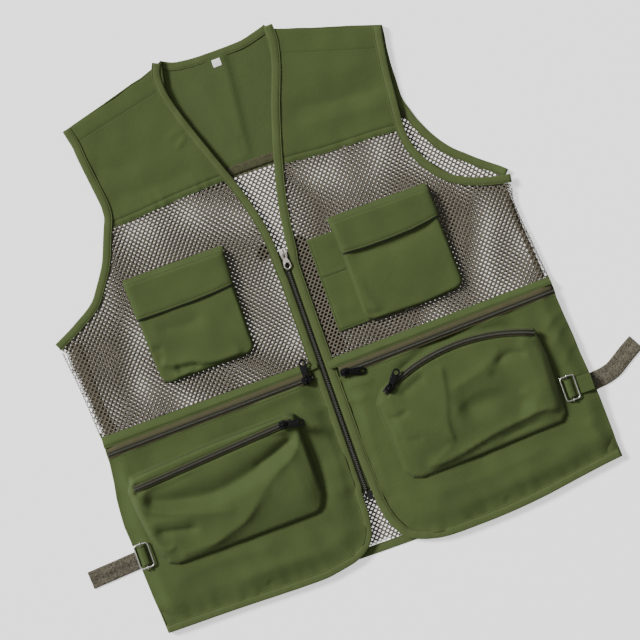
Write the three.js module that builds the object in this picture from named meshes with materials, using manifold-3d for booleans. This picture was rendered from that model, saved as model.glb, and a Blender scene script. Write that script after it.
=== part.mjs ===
// Fishing vest, lying flat on its back: X across the body (+X is the wearer's left),
// Y from the hem up to the collar, Z up from the surface it lies on. Millimetres.
import * as THREE from 'three';
import { mergeVertices } from 'three/addons/utils/BufferGeometryUtils.js';
import Module from 'manifold-3d';

const wasm = await Module();
wasm.setup();

// ---- driving dimensions ------------------------------------------------------------
const CENTRE_X = 8.0;          // middle of the vest with its waist straps, in outline coordinates
const CENTRE_Y = 3.0;          // middle of the length
const GAP = 0.3;               // clearance between neighbouring pieces
const CLOTH = 1.2;             // thickness given to a fabric layer
const Z_BACK = 0;              // back layer stands on the surface
const Z_ON_BACK = 1.5;         // trim sewn on the inside of the back
const Z_SIDE_TOP = 7.2;        // top of the side fold
const Z_FRONT = 7.5;           // underside of the front layer
const Z_TRIM = 9.0;            // trim and pockets sewn on the front layer
const BINDING = 9.6;           // width of the bound edges
const LOWER_TOP = 14.4;        // top of the lower front panel
const LOWER_RIM = 2.4;         // seam width around the lower pocket
const WALL = 1.6;              // wall of a bellows pocket
const CHEST_DEPTH = 9.5;       // bellows depth of a chest pocket
const CARGO_BASE = 14.7;       // a cargo pocket stands on the lower panel
const CARGO_TOP = 31.0;
const TAPE = 0.8;              // zip tape thickness
const TAPE_WIDTH = 16.6;
const COIL_WIDTH = 5.0;
const COIL_HEIGHT = 1.3;
const SLIDER_LENGTH = 11.0;
const SLIDER_WIDTH = 9.0;
const PULL_LENGTH = 25.0;
const TEETH_PITCH = 6.0;
const CHAIN_X = -2.0;          // centre line of the front zip
const STRAP = 2.4;             // folded webbing thickness

// ---- outlines, counter-clockwise on the wearer's right, clockwise on the left --------
const R_SHOULDER = [[-62, 323.5], [-69, 320.3], [-80, 315.9], [-91.5, 311.8], [-102.7, 309.5], [-125.5, 303], [-150, 295.9], [-171, 290.2], [-199.2, 282.4]];
const R_ARM = [[-199.2, 282.4], [-194.5, 261.8], [-193.6, 250], [-191.4, 230], [-188, 202.7], [-185.9, 184.5], [-186.8, 171], [-191.4, 159.5], [-196, 148.2], [-200.5, 136.8], [-206.1, 123.2], [-211.8, 113], [-221, 99.3], [-232.3, 83.4], [-243.6, 74.3], [-257.3, 66.4], [-268.6, 60], [-291, 49]];
const R_SIDE = [[-289, 39.5], [-286.5, 37], [-284.5, 19], [-282.3, 3], [-279.5, -31], [-277.3, -67], [-276.3, -76.3], [-277, -94.5], [-276.9, -103.5], [-280, -128.5], [-283.4, -146.7], [-285, -167], [-285.7, -180.8], [-284.5, -196.7], [-282.9, -235], [-281.3, -269.4], [-279.5, -292], [-278.2, -316]];
const R_HEM = [[-278.2, -316], [-193.6, -316.2], [-150, -317], [-112, -317.6], [-80, -317.2], [-61.8, -314.4], [-46, -311.3], [-38, -308.6], [-30, -304.6], [-23, -299.5], [-16.5, -291], [-12.5, -281], [-10, -267], [-8.8, -251], [-8.6, -236], [-7.2, -231], [-6.9, -225]];
const R_EDGE = [[-6.9, -225], [-6.9, 34], [-7.8, 39], [-7.8, 60], [-8.5, 80], [-11.4, 102.7], [-16.8, 125.5], [-23.2, 148.2], [-31.1, 170.9], [-39.5, 193.6], [-45.9, 211.8], [-52.3, 230], [-59.1, 250], [-65.2, 270.9], [-68.2, 284.5], [-69.5, 300], [-68.6, 309.5], [-64, 320]];
const L_SHOULDER = [[65.5, 323.3], [69.5, 318.6], [76.4, 314.1], [90, 309.5], [103.6, 305.7], [117.3, 300.9], [135.5, 295.5], [160.5, 288.2], [178.6, 282.3], [198.2, 276.4]];
const L_ARM_BACK = [[198.2, 276.4], [196.8, 264], [194.5, 250], [192.7, 230], [192.3, 211.8], [191.6, 193.6], [192.3, 184.5], [195.7, 173.2], [199.1, 161.8], [204.8, 148.2], [210.5, 136.8], [218.4, 124.3], [228.6, 111.8], [240, 101.6], [251.4, 91.4], [262.7, 82.3], [274.1, 73.2], [281.6, 66]];
const L_ARM_FRONT = [[195.7, 275.5], [193, 262], [190, 243.6], [187.3, 223.2], [185.9, 207.3], [184.3, 189], [183.2, 175.5], [182, 161.8], [182, 148.2], [183.2, 136.8], [185.9, 126.6], [190, 116.4], [195.7, 106.1], [203.6, 94.8], [211.6, 86.8], [221.8, 78.9], [235.5, 72], [251.4, 66.4], [269.5, 61.8], [281.6, 60]];
const L_SIDE = [[278.2, 46.5], [274.5, 30.5], [274.5, 22.6], [276, 1], [278.2, -17], [280.5, -42], [283.2, -67.2], [284.6, -85.3], [283.8, -94.4], [285, -112.6], [287.7, -144.4], [288.6, -167], [290.5, -187.6], [291.2, -196.7], [293, -224], [293.6, -246.7], [294.1, -269.4], [294, -278.5], [295, -297.4]];
const L_HEM = [[295, -297.4], [274, -299.7], [240, -304.6], [194.5, -311.5], [149, -316], [103.6, -317.8], [69.5, -317.6], [49, -313.8], [33.2, -308], [21.8, -301.2], [13.9, -288.8], [9.3, -278.5], [5.6, -265], [3.6, -251], [2.9, -240]];
const L_EDGE = [[2.9, -240], [2.9, 50], [4.1, 60], [6.4, 80], [9.5, 102.7], [13.6, 125.5], [19.1, 148.2], [24.1, 167.3], [28.2, 182.3], [33.6, 200], [43, 230], [50.5, 250], [58.2, 270.9], [62.3, 284.5], [65.7, 300], [65.9, 309.5], [65.5, 320]];
const BACK_NECK = [[-62, 323.5], [-50, 317.6], [-39, 315.7], [-25.5, 314.5], [0, 314.2], [20, 314.6], [35.5, 315.5], [46.8, 318.2], [55.9, 320.5], [65.5, 323.3]];
const BACK_HEM = [[-277.8, -309], [-130, -309.6], [0, -310], [110, -309], [200, -304], [240, -300], [293.4, -294]];
const R_YOKE_SEAM = [[-192.9, 155.2], [-181, 155.6], [-150, 157.3], [-125.5, 159.5], [-100, 161.8], [-80, 163], [-57.3, 164], [-29.2, 165.2]];
const L_YOKE_SEAM = [[181.8, 151.4], [171.8, 152.3], [149, 154], [126, 154.5], [103.6, 155], [81, 155.8], [58.2, 158], [36.6, 159.6], [22.2, 160]];
const R_SHOULDER_SEAM = [[-195, 263.4], [-187, 265], [-135, 277], [-83, 289], [-68.6, 291.4]];
const L_SHOULDER_SEAM = [[191.4, 251], [177, 253.5], [127, 268], [77, 283], [62.3, 286.4]];
const R_CHEST = [[-191, 93.2], [-189.4, 43.5], [-188.2, 0], [-186.4, -29], [-183.6, -36], [-177, -39], [-130, -38], [-79, -36.6], [-72.4, -33.4], [-70.2, -27], [-69.6, 20], [-69.6, 46.5], [-67.4, 93.8]];
const L_CHEST = [[60.6, 82.4], [62.4, 40], [63.2, 0], [63.8, -38], [66.6, -45.4], [73, -48.8], [138, -50], [177, -46.6], [184.4, -43.4], [187, -37], [186.6, -20], [185.2, 20], [184.6, 42], [183, 83.2]];
const R_FLAP = [[-191.6, 93.4], [-190, 43.6], [-160, 43.2], [-120, 43.4], [-90, 44.8], [-69, 46.6], [-66.8, 94]];
const L_FLAP = [[60, 82.6], [63, 37.4], [90, 35.6], [120, 35.6], [150, 37], [172, 40], [185.2, 42.4], [183.6, 83.5]];
const R_CARGO = [[-259.5, -126.5], [-268, -143], [-266, -170], [-262, -200], [-256, -226], [-250, -238], [-238, -243], [-150, -242], [-64, -240], [-57, -234.6], [-51.4, -221], [-51, -145], [-52.5, -122], [-60, -117.5], [-150, -119.5]];
const L_CARGO = [[42.4, -143], [44.4, -182], [47.6, -230], [54, -238.6], [66, -243], [138, -240.6], [242, -235.4], [249.8, -227], [250.2, -190], [250.6, -156], [248.6, -136]];
const R_ZIP = [[-275.4, -94.6], [-17.6, -88.6]];
const L_ZIP = [[13.8, -95.2], [282.6, -86.8]];
const R_CARGO_ZIP = [[-260, -142.6], [-59, -127.6]];
const L_CARGO_ARC = { x: 157.3, y: -323.5, r: 216.2, middle: -2.44, span: 51.6 }; // centre, radius, and the bearing of its middle and its span in degrees
const R_BUCKLE = [-274.4, -219.6];
const L_BUCKLE = [262.6, -200.8];

// ---- materials ----------------------------------------------------------------------
const mat = (color, roughness, metalness) => new THREE.MeshStandardMaterial({ color, roughness, metalness });
const OLIVE = 0x566a33, OLIVE_TRIM = 0x5b7037, TAUPE = 0x6b6353, TAPE_BROWN = 0x6c6a48, NYLON = 0x22221e, BLACK = 0x1b1a1c, SILVER = 0xcfccc6, WHITE = 0xf2f2ee;
const cloth = () => mat(OLIVE, 0.85, 0), trim = () => mat(OLIVE_TRIM, 0.82, 0), net = () => mat(TAUPE, 0.9, 0);
const tape = () => mat(TAPE_BROWN, 0.85, 0), nylon = () => mat(NYLON, 0.45, 0), enamel = () => mat(BLACK, 0.4, 0.4), steel = () => mat(SILVER, 0.25, 1);

// ---- geometry helpers -----------------------------------------------------------------
function shapeOf(points, holes = []) {
  const s = new THREE.Shape(points.map(([x, y]) => new THREE.Vector2(x, y)));
  for (const h of holes) s.holes.push(new THREE.Path(h.map(([x, y]) => new THREE.Vector2(x, y))));
  return s;
}
function slab(points, z0, z1, holes = []) {
  const g = new THREE.ExtrudeGeometry(shapeOf(points, holes), { depth: z1 - z0, bevelEnabled: false, curveSegments: 6 });
  return g.translate(0, 0, z0);
}
// moves an open line sideways by d, to its left where d is positive
function shift(line, d) {
  const out = [];
  for (let i = 0; i < line.length; i++) {
    const p = line[i], a = line[Math.max(i - 1, 0)], b = line[Math.min(i + 1, line.length - 1)];
    const n = (u, v) => { const l = Math.hypot(v[0] - u[0], v[1] - u[1]) || 1; return [-(v[1] - u[1]) / l, (v[0] - u[0]) / l]; };
    const n1 = i > 0 ? n(a, p) : n(p, b), n2 = i < line.length - 1 ? n(p, b) : n(a, p);
    const m = [n1[0] + n2[0], n1[1] + n2[1]], l2 = m[0] * m[0] + m[1] * m[1];
    const k = Math.min(2 / l2, 1.1);
    out.push([p[0] + m[0] * d * k, p[1] + m[1] * d * k]);
  }
  return out;
}
const band = (line, d0, d1) => [...shift(line, d0), ...shift(line, d1).reverse()];
// moves a closed outline inwards by d (positive is to the left of its direction)
function inset(poly, d) {
  const n = poly.length, out = [];
  for (let i = 0; i < n; i++) {
    const [a, p, b] = [poly[(i + n - 1) % n], poly[i], poly[(i + 1) % n]];
    out.push(shift([a, p, b], d)[1]);
  }
  return out;
}
function part(line, test) { return line.filter(([x, y]) => test(x, y)); }
const at = ([a, b], t) => [a[0] + (b[0] - a[0]) * t, a[1] + (b[1] - a[1]) * t];

function solid(g) {
  const c = g.clone();
  c.deleteAttribute('normal');
  c.deleteAttribute('uv');
  const m = mergeVertices(c, 1e-4);
  return new wasm.Manifold(new wasm.Mesh({ numProp: 3, vertProperties: new Float32Array(m.attributes.position.array), triVerts: new Uint32Array(m.index.array) }));
}
function geometry(s) {
  const m = s.getMesh(), g = new THREE.BufferGeometry();
  g.setAttribute('position', new THREE.BufferAttribute(new Float32Array(m.vertProperties), 3));
  g.setIndex(new THREE.BufferAttribute(new Uint32Array(m.triVerts), 1));
  g.computeVertexNormals();
  return g;
}
const join = (...gs) => geometry(gs.map(solid).reduce((a, b) => a.add(b)));
const cut = (g, ...tools) => geometry(tools.map(solid).reduce((a, b) => a.subtract(b), solid(g)));
const box = (x0, x1, y0, y1, z0, z1) => new THREE.BoxGeometry(x1 - x0, y1 - y0, z1 - z0).translate((x0 + x1) / 2, (y0 + y1) / 2, (z0 + z1) / 2);

const group = new THREE.Group();
group.name = 'fishing_vest';
group.position.set(-CENTRE_X, -CENTRE_Y, 0);
function add(name, g, material, place) {
  const m = new THREE.Mesh(g, material);
  m.name = name;
  if (place) { m.position.set(place.x, place.y, place.z); m.rotation.z = place.turn || 0; }
  group.add(m);
  return m;
}

// ---- back ---------------------------------------------------------------------------
const rArmYoke = part(R_ARM, (x, y) => y > 168), lArmYoke = part(L_ARM_BACK, (x, y) => y > 168);
add('back_yoke', slab([...BACK_NECK.slice(0, -1), ...L_SHOULDER, ...lArmYoke.slice(1), [197.4, 167.2], [-188.6, 167.2], ...rArmYoke.slice(1).reverse(), ...R_SHOULDER.slice(1).reverse()], Z_BACK, Z_BACK + CLOTH), cloth());
const hemTop = shift(BACK_HEM, BINDING + GAP);
const rArmLow = part(R_ARM, (x, y) => y < 168), lArmLow = part(L_ARM_BACK, (x, y) => y < 168);
add('back_mesh_panel', slab([[-188.4, 166.9], ...rArmLow, ...part(R_SIDE, (x, y) => y > -296), ...hemTop, ...part(L_SIDE, (x, y) => y > -282).reverse(), [281.6, 60], ...lArmLow.slice().reverse(), [197.5, 166.9]], Z_BACK, Z_BACK + CLOTH), net());
add('back_hem_binding', slab(band(BACK_HEM, 0, BINDING), Z_BACK, Z_BACK + 1.5), trim());
add('back_neck_binding', slab(band(BACK_NECK.slice(1, -1), -1, -BINDING + 1), Z_ON_BACK, Z_ON_BACK + 1), trim());
add('right_armhole_binding_back', slab(band(part(R_ARM, (x, y) => y < 262 && y > 50), 0.4, BINDING), Z_ON_BACK, Z_ON_BACK + 1), trim());
add('left_armhole_binding_back', slab(band(part(L_ARM_BACK, (x, y) => y < 262 && y > 70), -0.4, -BINDING), Z_ON_BACK, Z_ON_BACK + 1), trim());
add('size_label', slab([[-6, 295.4], [4.2, 295.8], [3.8, 303.8], [-6.2, 303.4]], Z_ON_BACK, Z_ON_BACK + 0.5), mat(WHITE, 0.7, 0));
add('right_side_seam', slab(band(part(R_SIDE, (x, y) => y < 25), 0.8, 2.4), Z_ON_BACK, Z_SIDE_TOP), net());
add('left_side_seam', slab(band(part(L_SIDE, (x, y) => y < 25), -0.8, -2.4), Z_ON_BACK, Z_SIDE_TOP), net());

// ---- shoulders and front yokes ----------------------------------------------------------
add('right_shoulder_yoke', join(slab(band(part(R_SHOULDER, (x) => x < -63 && x > -196), 0.8, 2.4), Z_ON_BACK, Z_FRONT + 0.6), slab([...R_SHOULDER.slice(1), ...R_SHOULDER_SEAM], Z_FRONT, Z_FRONT + CLOTH)), cloth());
add('left_shoulder_yoke', join(slab(band(part(L_SHOULDER, (x) => x > 66 && x < 196), -0.8, -2.4), Z_ON_BACK, Z_FRONT + 0.6), slab([...L_SHOULDER.slice(1, -1), [195.7, 277.1], [193, 262], ...L_SHOULDER_SEAM], Z_FRONT, Z_FRONT + CLOTH)), cloth());
add('right_front_yoke', slab([...shift(R_SHOULDER_SEAM, GAP * -1).reverse(), ...part(R_ARM, (x, y) => y < 262 && y > 157), ...R_YOKE_SEAM, ...part(R_EDGE, (x, y) => y > 168 && y < 290)], Z_FRONT, Z_FRONT + CLOTH), cloth());
add('left_front_yoke', slab([...shift(L_SHOULDER_SEAM, GAP).reverse(), ...part(L_ARM_FRONT, (x, y) => y < 250 && y > 153), ...L_YOKE_SEAM, ...part(L_EDGE, (x, y) => y > 162 && y < 284)], Z_FRONT, Z_FRONT + CLOTH), cloth());

// ---- front mesh panels --------------------------------------------------------------------
const drop = (line, d) => line.map(([x, y]) => [x, y - d]);
add('right_mesh_panel', slab([...drop(R_YOKE_SEAM, GAP).reverse(), ...part(R_ARM, (x, y) => y < 154.8), ...part(R_SIDE, (x, y) => y > -69), [-276.8, -71.9], [-6.9, -69.6], ...part(R_EDGE, (x, y) => y > -69 && y < 164)], Z_FRONT, Z_FRONT + CLOTH), net());
add('left_mesh_panel', slab([...drop(L_YOKE_SEAM, GAP).reverse(), ...part(L_ARM_FRONT, (x, y) => y < 151), ...part(L_SIDE, (x, y) => y > -67.5), [283.3, -68.7], [2.9, -73.6], ...part(L_EDGE, (x, y) => y > -69 && y < 159)], Z_FRONT, Z_FRONT + CLOTH), net());

// ---- lower pockets: bag, panel and long zip on each side --------------------------------------
function lowerPocket(side, hem, edgeX, sideLine, zip, sign) {
  const bagTop = zip.map(([x, y]) => [x, y + 8.6]);
  const ledgeTop = side === 'right' ? [[-276.4, -72.2], [edgeX, -69.9]] : [[283.2, -69.0], [edgeX, -73.9]];
  const sideDown = part(sideLine, (x, y) => y < -73);
  const bag = slab([ledgeTop[0], ...sideDown, ...hem.slice(1), ledgeTop[1]], Z_FRONT, Z_FRONT + 1);
  const inX = zip.map(([x]) => x);
  const ledge = side === 'right'
    ? [[-275.2, -72.2], [inX[0], bagTop[0][1] + 0.2], [inX[1], bagTop[1][1] + 0.2], [-17.6, -70]]
    : [[282.2, -69.0], [inX[1], bagTop[1][1] + 0.2], [inX[0], bagTop[0][1] + 0.2], [13.8, -73.7]];
  add(side + '_pocket_bag', join(bag, slab(ledge, Z_FRONT + 0.4, LOWER_TOP)), cloth());
  const low = zip.map(([x, y]) => [x, y - TAPE_WIDTH / 2 - GAP - 0.1]);
  const hemIn = shift([...hem, [edgeX, -60]], sign * (BINDING + 0.5)).filter(([x, y]) => y < (side === 'right' ? -98 : -104));
  const outer = side === 'right'
    ? [low[0], ...shift(part(sideLine, (x, y) => y < -104 && y > -300), 0.5), ...hemIn.map((p, i) => (i === 0 ? [p[0] + 0.6, p[1]] : p)), low[1]]
    : [low[1], ...shift(part(sideLine, (x, y) => y < -100 && y > -280), -0.5), ...hemIn.map((p, i) => (i === 0 ? [p[0] - 0.8, p[1] + 0.4] : p)), low[0]];
  const inner = inset(outer, sign * LOWER_RIM);
  inner[0] = [inner[0][0], inner[0][1] + 20];
  inner[inner.length - 1] = [inner[inner.length - 1][0], inner[inner.length - 1][1] + 20];
  add(side + '_lower_panel', cut(slab(outer, Z_FRONT + 1.3, LOWER_TOP), slab(inner, Z_FRONT, LOWER_TOP - CLOTH)), cloth());
}
lowerPocket('right', R_HEM, -6.9, R_SIDE, R_ZIP, 1);
lowerPocket('left', L_HEM, 2.9, L_SIDE, L_ZIP, -1);

// a zip: a flat tape with the closed coil standing along its middle
function zipStrip(name, line, z) {
  add(name, join(slab(band(line, -TAPE_WIDTH / 2, TAPE_WIDTH / 2), z, z + TAPE), slab(band(line, -COIL_WIDTH / 2, COIL_WIDTH / 2), z + TAPE - 0.2, z + TAPE + COIL_HEIGHT)), nylon());
}
const LONG_ZIP_Z = LOWER_TOP - TAPE;
zipStrip('right_long_zip', R_ZIP, LONG_ZIP_Z);
zipStrip('left_long_zip', L_ZIP, LONG_ZIP_Z);

// a slider rides over the coil; its arch stands along the pull's direction and holds the pull
const ARCH_HALF = 4.5, ARCH_INNER = 2.6, ARCH_RISE = 3.4, ARCH_WIDTH = 2.4, AXIS_RISE = 1.2;
function slider(name, pos, slide, pull, z, material, w = SLIDER_WIDTH, l = SLIDER_LENGTH, channel = COIL_WIDTH + 0.8) {
  const rounded = [[-l / 2, -w / 2 + 1.6], [-l / 2 + 1.6, -w / 2], [l / 2 - 2.4, -w / 2], [l / 2, -w / 2 + 2.6], [l / 2, w / 2 - 2.6], [l / 2 - 2.4, w / 2], [-l / 2 + 1.6, w / 2], [-l / 2, w / 2 - 1.6]];
  let g = channel ? cut(slab(rounded, GAP, COIL_HEIGHT + 1.8), box(-l, l, -channel / 2, channel / 2, -1, COIL_HEIGHT + 0.4)) : slab(rounded, 0, 1.6);
  const top = channel ? COIL_HEIGHT + 1.8 : 1.6;
  const arch = cut(box(-ARCH_HALF, ARCH_HALF, -ARCH_WIDTH / 2, ARCH_WIDTH / 2, top - 0.4, top + ARCH_RISE), box(-ARCH_INNER, ARCH_INNER, -2, 2, top, top + ARCH_RISE - 1));
  arch.rotateZ(pull - slide);
  g = join(g, arch);
  add(name, g, material, { x: pos[0], y: pos[1], z, turn: slide });
  return z + top + AXIS_RISE;
}
// a pull: a flat tongue; its end bar turns under the arch, which stands through the slot beside it
function pullTab(name, pos, dir, axisZ, material, length = PULL_LENGTH, w0 = 6.6, w1 = 9.0, hole = 2.2) {
  const c = length - w1 / 2, outline = [[-0.6, -w0 / 2], [6.6, -w0 / 2], [9, -w1 / 2]];
  for (let i = -4; i <= 4; i++) outline.push([c + Math.cos(i * Math.PI / 9) * w1 / 2, Math.sin(i * Math.PI / 9) * w1 / 2]);
  outline.push([9, w1 / 2], [6.6, w0 / 2], [-0.6, w0 / 2]);
  const slot = [[0.6, -1.8], [5.5, -1.8], [5.5, 1.8], [0.6, 1.8]];
  const ring = [];
  for (let i = 0; i < 10; i++) ring.push([c - 0.6 + Math.cos(i * Math.PI / 5) * hole * 1.15, Math.sin(i * Math.PI / 5) * hole]);
  add(name, slab(outline, -0.6, 0.6, [slot, ring]), material, { x: pos[0], y: pos[1], z: axisZ, turn: dir });
}
const deg = Math.PI / 180;
const angle = (line) => Math.atan2(line[1][1] - line[0][1], line[1][0] - line[0][0]);

const R_LONG_AT = at(R_ZIP, 0.968), L_LONG_AT = at(L_ZIP, 0.022);
let axis = slider('right_long_slider', R_LONG_AT, angle(R_ZIP), 84 * deg, LONG_ZIP_Z + TAPE, enamel());
pullTab('right_long_pull', R_LONG_AT, 84 * deg, axis, enamel());
axis = slider('left_long_slider', L_LONG_AT, angle(L_ZIP), -14 * deg, LONG_ZIP_Z + TAPE, enamel());
pullTab('left_long_pull', L_LONG_AT, -14 * deg, axis, enamel());

// ---- chest pockets ----------------------------------------------------------------------
function chestPocket(side, outline, flap, base, sign) {
  const top = base + CHEST_DEPTH, hingeY = side === 'right' ? 93.2 : 82.4;
  const [x0, x1] = [Math.min(...outline.map((p) => p[0])), Math.max(...outline.map((p) => p[0]))];
  const mouth = [[x0 + 5, hingeY - 13.5], [x1 - 7, hingeY - 13.5], [x1 - 7, hingeY - 3.2], [x0 + 5, hingeY - 3.2]];
  const shell = cut(slab(outline, base, top), slab(inset(outline, sign * WALL), base - 1, top - CLOTH), slab(mouth, base + 2, top + 1));
  const lip = slab([[x0 + 3, hingeY - 1.9], [x1 - 5.4, hingeY - 1.9], [x1 - 5.4, hingeY - 0.5], [x0 + 3, hingeY - 0.5]], top - 1, top + 1.8);
  add(side + '_chest_pouch', join(shell, lip), cloth());
  const hx = (x0 + x1) / 2;
  add(side + '_chest_hook_patch', slab([[hx - 34, hingeY - 41], [hx + 34, hingeY - 41], [hx + 34, hingeY - 25], [hx - 34, hingeY - 25]], top + 0.3, top + 0.9), mat(0x2c3320, 0.9, 0));
  add(side + '_chest_loop_patch', slab([[hx - 34, hingeY - 41], [hx + 34, hingeY - 41], [hx + 34, hingeY - 25], [hx - 34, hingeY - 25]], top + 1.2, top + 1.8), mat(0x333b26, 0.95, 0));
  add(side + '_chest_flap', slab(flap, top + 2.1, top + 2.1 + CLOTH), cloth());
}
const L_CHEST_BASE = Z_TRIM + 1.2;
chestPocket('right', R_CHEST, R_FLAP, Z_TRIM, 1);
chestPocket('left', L_CHEST, L_FLAP, L_CHEST_BASE, 1);
add('left_flat_pocket', slab([[29.4, 66.2], [29.6, -48.4], [66, -47.6], [90, -44], [180, -42], [181, 62], [63, 66]], Z_TRIM, Z_TRIM + 0.9), cloth());

// ---- cargo pockets ----------------------------------------------------------------------
const bearing = (t) => L_CARGO_ARC.middle + (t - 0.5) * L_CARGO_ARC.span;
const arcAt = (t, r = L_CARGO_ARC.r) => [L_CARGO_ARC.x + Math.sin(bearing(t) * deg) * r, L_CARGO_ARC.y + Math.cos(bearing(t) * deg) * r];
const L_CARGO_ZIP = Array.from({ length: 19 }, (_, i) => arcAt(i / 18));
const L_CARGO_OUT = [...L_CARGO, ...Array.from({ length: 15 }, (_, i) => arcAt(1.0 - i / 14, L_CARGO_ARC.r + 5))];
function cargoPocket(side, outline, zipLine) {
  const slot = band(zipLine, -2.6, 2.6);
  const shell = cut(slab(outline, CARGO_BASE, CARGO_TOP), slab(inset(outline, WALL), CARGO_BASE - 1, CARGO_TOP - CLOTH), slab(slot, CARGO_BASE + 4, CARGO_TOP + 1));
  add(side + '_cargo_pouch', shell, cloth());
}
cargoPocket('right', R_CARGO, [at(R_CARGO_ZIP, 0.05), at(R_CARGO_ZIP, 0.93)]);
cargoPocket('left', L_CARGO_OUT, L_CARGO_ZIP.slice(2, -2));
const CARGO_ZIP_Z = CARGO_TOP + GAP;
zipStrip('right_cargo_zip', R_CARGO_ZIP, CARGO_ZIP_Z);
zipStrip('left_cargo_zip', L_CARGO_ZIP, CARGO_ZIP_Z);
const R_CARGO_AT = at(R_CARGO_ZIP, 0.955), L_CARGO_AT = arcAt(0.04);
axis = slider('right_cargo_slider', R_CARGO_AT, angle(R_CARGO_ZIP), -12 * deg, CARGO_ZIP_Z + TAPE, enamel());
pullTab('right_cargo_pull', R_CARGO_AT, -12 * deg, axis, enamel());
axis = slider('left_cargo_slider', L_CARGO_AT, -bearing(0.04) * deg, 47 * deg, CARGO_ZIP_Z + TAPE, enamel());
pullTab('left_cargo_pull', L_CARGO_AT, 47 * deg, axis, enamel());

// ---- front and armhole bindings -----------------------------------------------------------
add('right_front_binding', slab(band([...R_HEM, ...R_EDGE.slice(1)], 0, BINDING), Z_TRIM, Z_TRIM + CLOTH), trim());
add('left_front_binding', slab(band([...L_HEM, ...L_EDGE.slice(1)], 0, -BINDING), Z_TRIM, Z_TRIM + CLOTH), trim());
add('right_armhole_binding_front', slab(band(part(R_ARM, (x, y) => y < 281), 0, BINDING), Z_TRIM, Z_TRIM + CLOTH), trim());
add('left_armhole_binding_front', slab(band(L_ARM_FRONT, 0, -BINDING), Z_TRIM, Z_TRIM + CLOTH), trim());

// ---- main front zip -----------------------------------------------------------------------
function comb(x0, x1, tip, y0, y1, first, n) {
  const right = tip > x1, pts = [];
  const base = right ? x1 : x0, back = right ? x0 : x1, half = 1.15;
  pts.push([back, y1], [back, y0], [base, y0]);
  for (let i = n - 1; i >= 0; i--) {
    const y = first - i * TEETH_PITCH;
    pts.push([base, y - half], [tip, y - half], [tip, y + half], [base, y + half]);
  }
  pts.push([base, y1]);
  return pts;
}
const TEETH = 44, CHAIN_TOP = 36;
add('main_zip_stringer_right', slab(comb(-6.6, -4.4, -0.3, -236, 40, CHAIN_TOP, TEETH + 1), Z_FRONT, Z_FRONT + 3), nylon());
add('main_zip_stringer_left', slab(comb(0.4, 2.6, -3.7, -236, 52, CHAIN_TOP - TEETH_PITCH / 2, TEETH), Z_FRONT, Z_FRONT + 3), nylon());
add('main_zip_pin', box(-6.6, -4.6, -244, -236.3, Z_FRONT + 0.3, Z_FRONT + 2.7), nylon());
add('main_zip_box', cut(box(-8.2, 2.6, -247, -236.4, Z_FRONT, Z_FRONT + 3.3), box(-7.2, -4.0, -245, -230, 0, 20)), nylon());
const MAIN_AT = [CHAIN_X, 60];
axis = slider('main_zip_slider', MAIN_AT, -90 * deg, -90 * deg, Z_FRONT + 3.3, steel(), 8.4, 14, 0);
pullTab('main_zip_pull', MAIN_AT, -90 * deg, axis, steel(), 19.4, 6.6, 9.6, 2.6);

// ---- waist adjusters: tab, bar and frame ------------------------------------------------------
function buckle(side, [bx, by], rootX) {
  const out = Math.sign(rootX - bx), z = LOWER_TOP + GAP, mid = z + 2.6, half = 11.6;
  // folded fabric tab: a loop round the bar with a tail back to the side seam
  const loop = [];
  for (let i = 0; i <= 10; i++) { const a = -Math.PI / 2 - i * Math.PI / 10; loop.push([out * Math.cos(a) * 2.6, Math.sin(a) * 2.6]); }
  loop.push([out * 1.6, 2.3], [out * 2.7, 1.2], [out * 3.6, -0.4], [out * 5.0, -1.4], [out * Math.abs(rootX - bx), -1.4], [out * Math.abs(rootX - bx), -2.6]);
  const eye = [];
  for (let i = 0; i < 10; i++) { const a = i * Math.PI / 5; eye.push([Math.cos(a) * 1.45, Math.sin(a) * 1.45]); }
  const tab = new THREE.ExtrudeGeometry(shapeOf(loop, [eye]), { depth: 2 * half, bevelEnabled: false });
  tab.rotateX(Math.PI / 2).translate(0, half, 0);
  add(side + '_buckle_tab', tab, cloth(), { x: bx, y: by, z: mid });
  // bar with an eye at each end that runs on the frame
  const bar = new THREE.CylinderGeometry(1.0, 1.0, 25.6, 10);
  const ends = [-1, 1].map((s) => cut(box(-1.9, 1.9, s * 14.4 - 1.9, s * 14.4 + 1.9, -1.9, 1.9), box(-3, 3, s * 14.4 - 1.3, s * 14.4 + 1.3, -1.3, 1.3)));
  add(side + '_buckle_bar', join(bar, ...ends), steel(), { x: bx, y: by, z: mid });
  const rr = (w, h, r) => { const p = []; for (const [cx, cy, a0] of [[w - r, h - r, 0], [-w + r, h - r, 90], [-w + r, -h + r, 180], [w - r, -h + r, 270]]) for (let i = 0; i <= 4; i++) p.push([cx + Math.cos((a0 + i * 22.5) * deg) * r, cy + Math.sin((a0 + i * 22.5) * deg) * r]); return p; };
  add(side + '_buckle_frame', slab(rr(9.2, 15.4, 3.4), -1, 1, [rr(7.2, 13.4, 1.6).reverse()]), steel(), { x: bx, y: by, z: mid });
}
buckle('right', R_BUCKLE, -283.6);
buckle('left', L_BUCKLE, 290.4);

// ---- waist straps -------------------------------------------------------------------------------
add('right_waist_strap', slab([[-287.8, -213.6], [-310, -214.6], [-346, -217.5], [-345.2, -238.6], [-310, -236.6], [-287.8, -235]], 0, STRAP), net());
const STRAP_LINE = [[295.4, -203.4], [308, -202], [320, -198.6], [331, -192], [343, -184.4], [357, -176.5]];
add('left_waist_strap', slab(band(STRAP_LINE, -10.6, 10.6), 0, STRAP), net());

export default group;
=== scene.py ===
import math
import bpy
import numpy as np
from mathutils import Matrix, Vector
from mathutils.geometry import delaunay_2d_cdt

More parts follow.
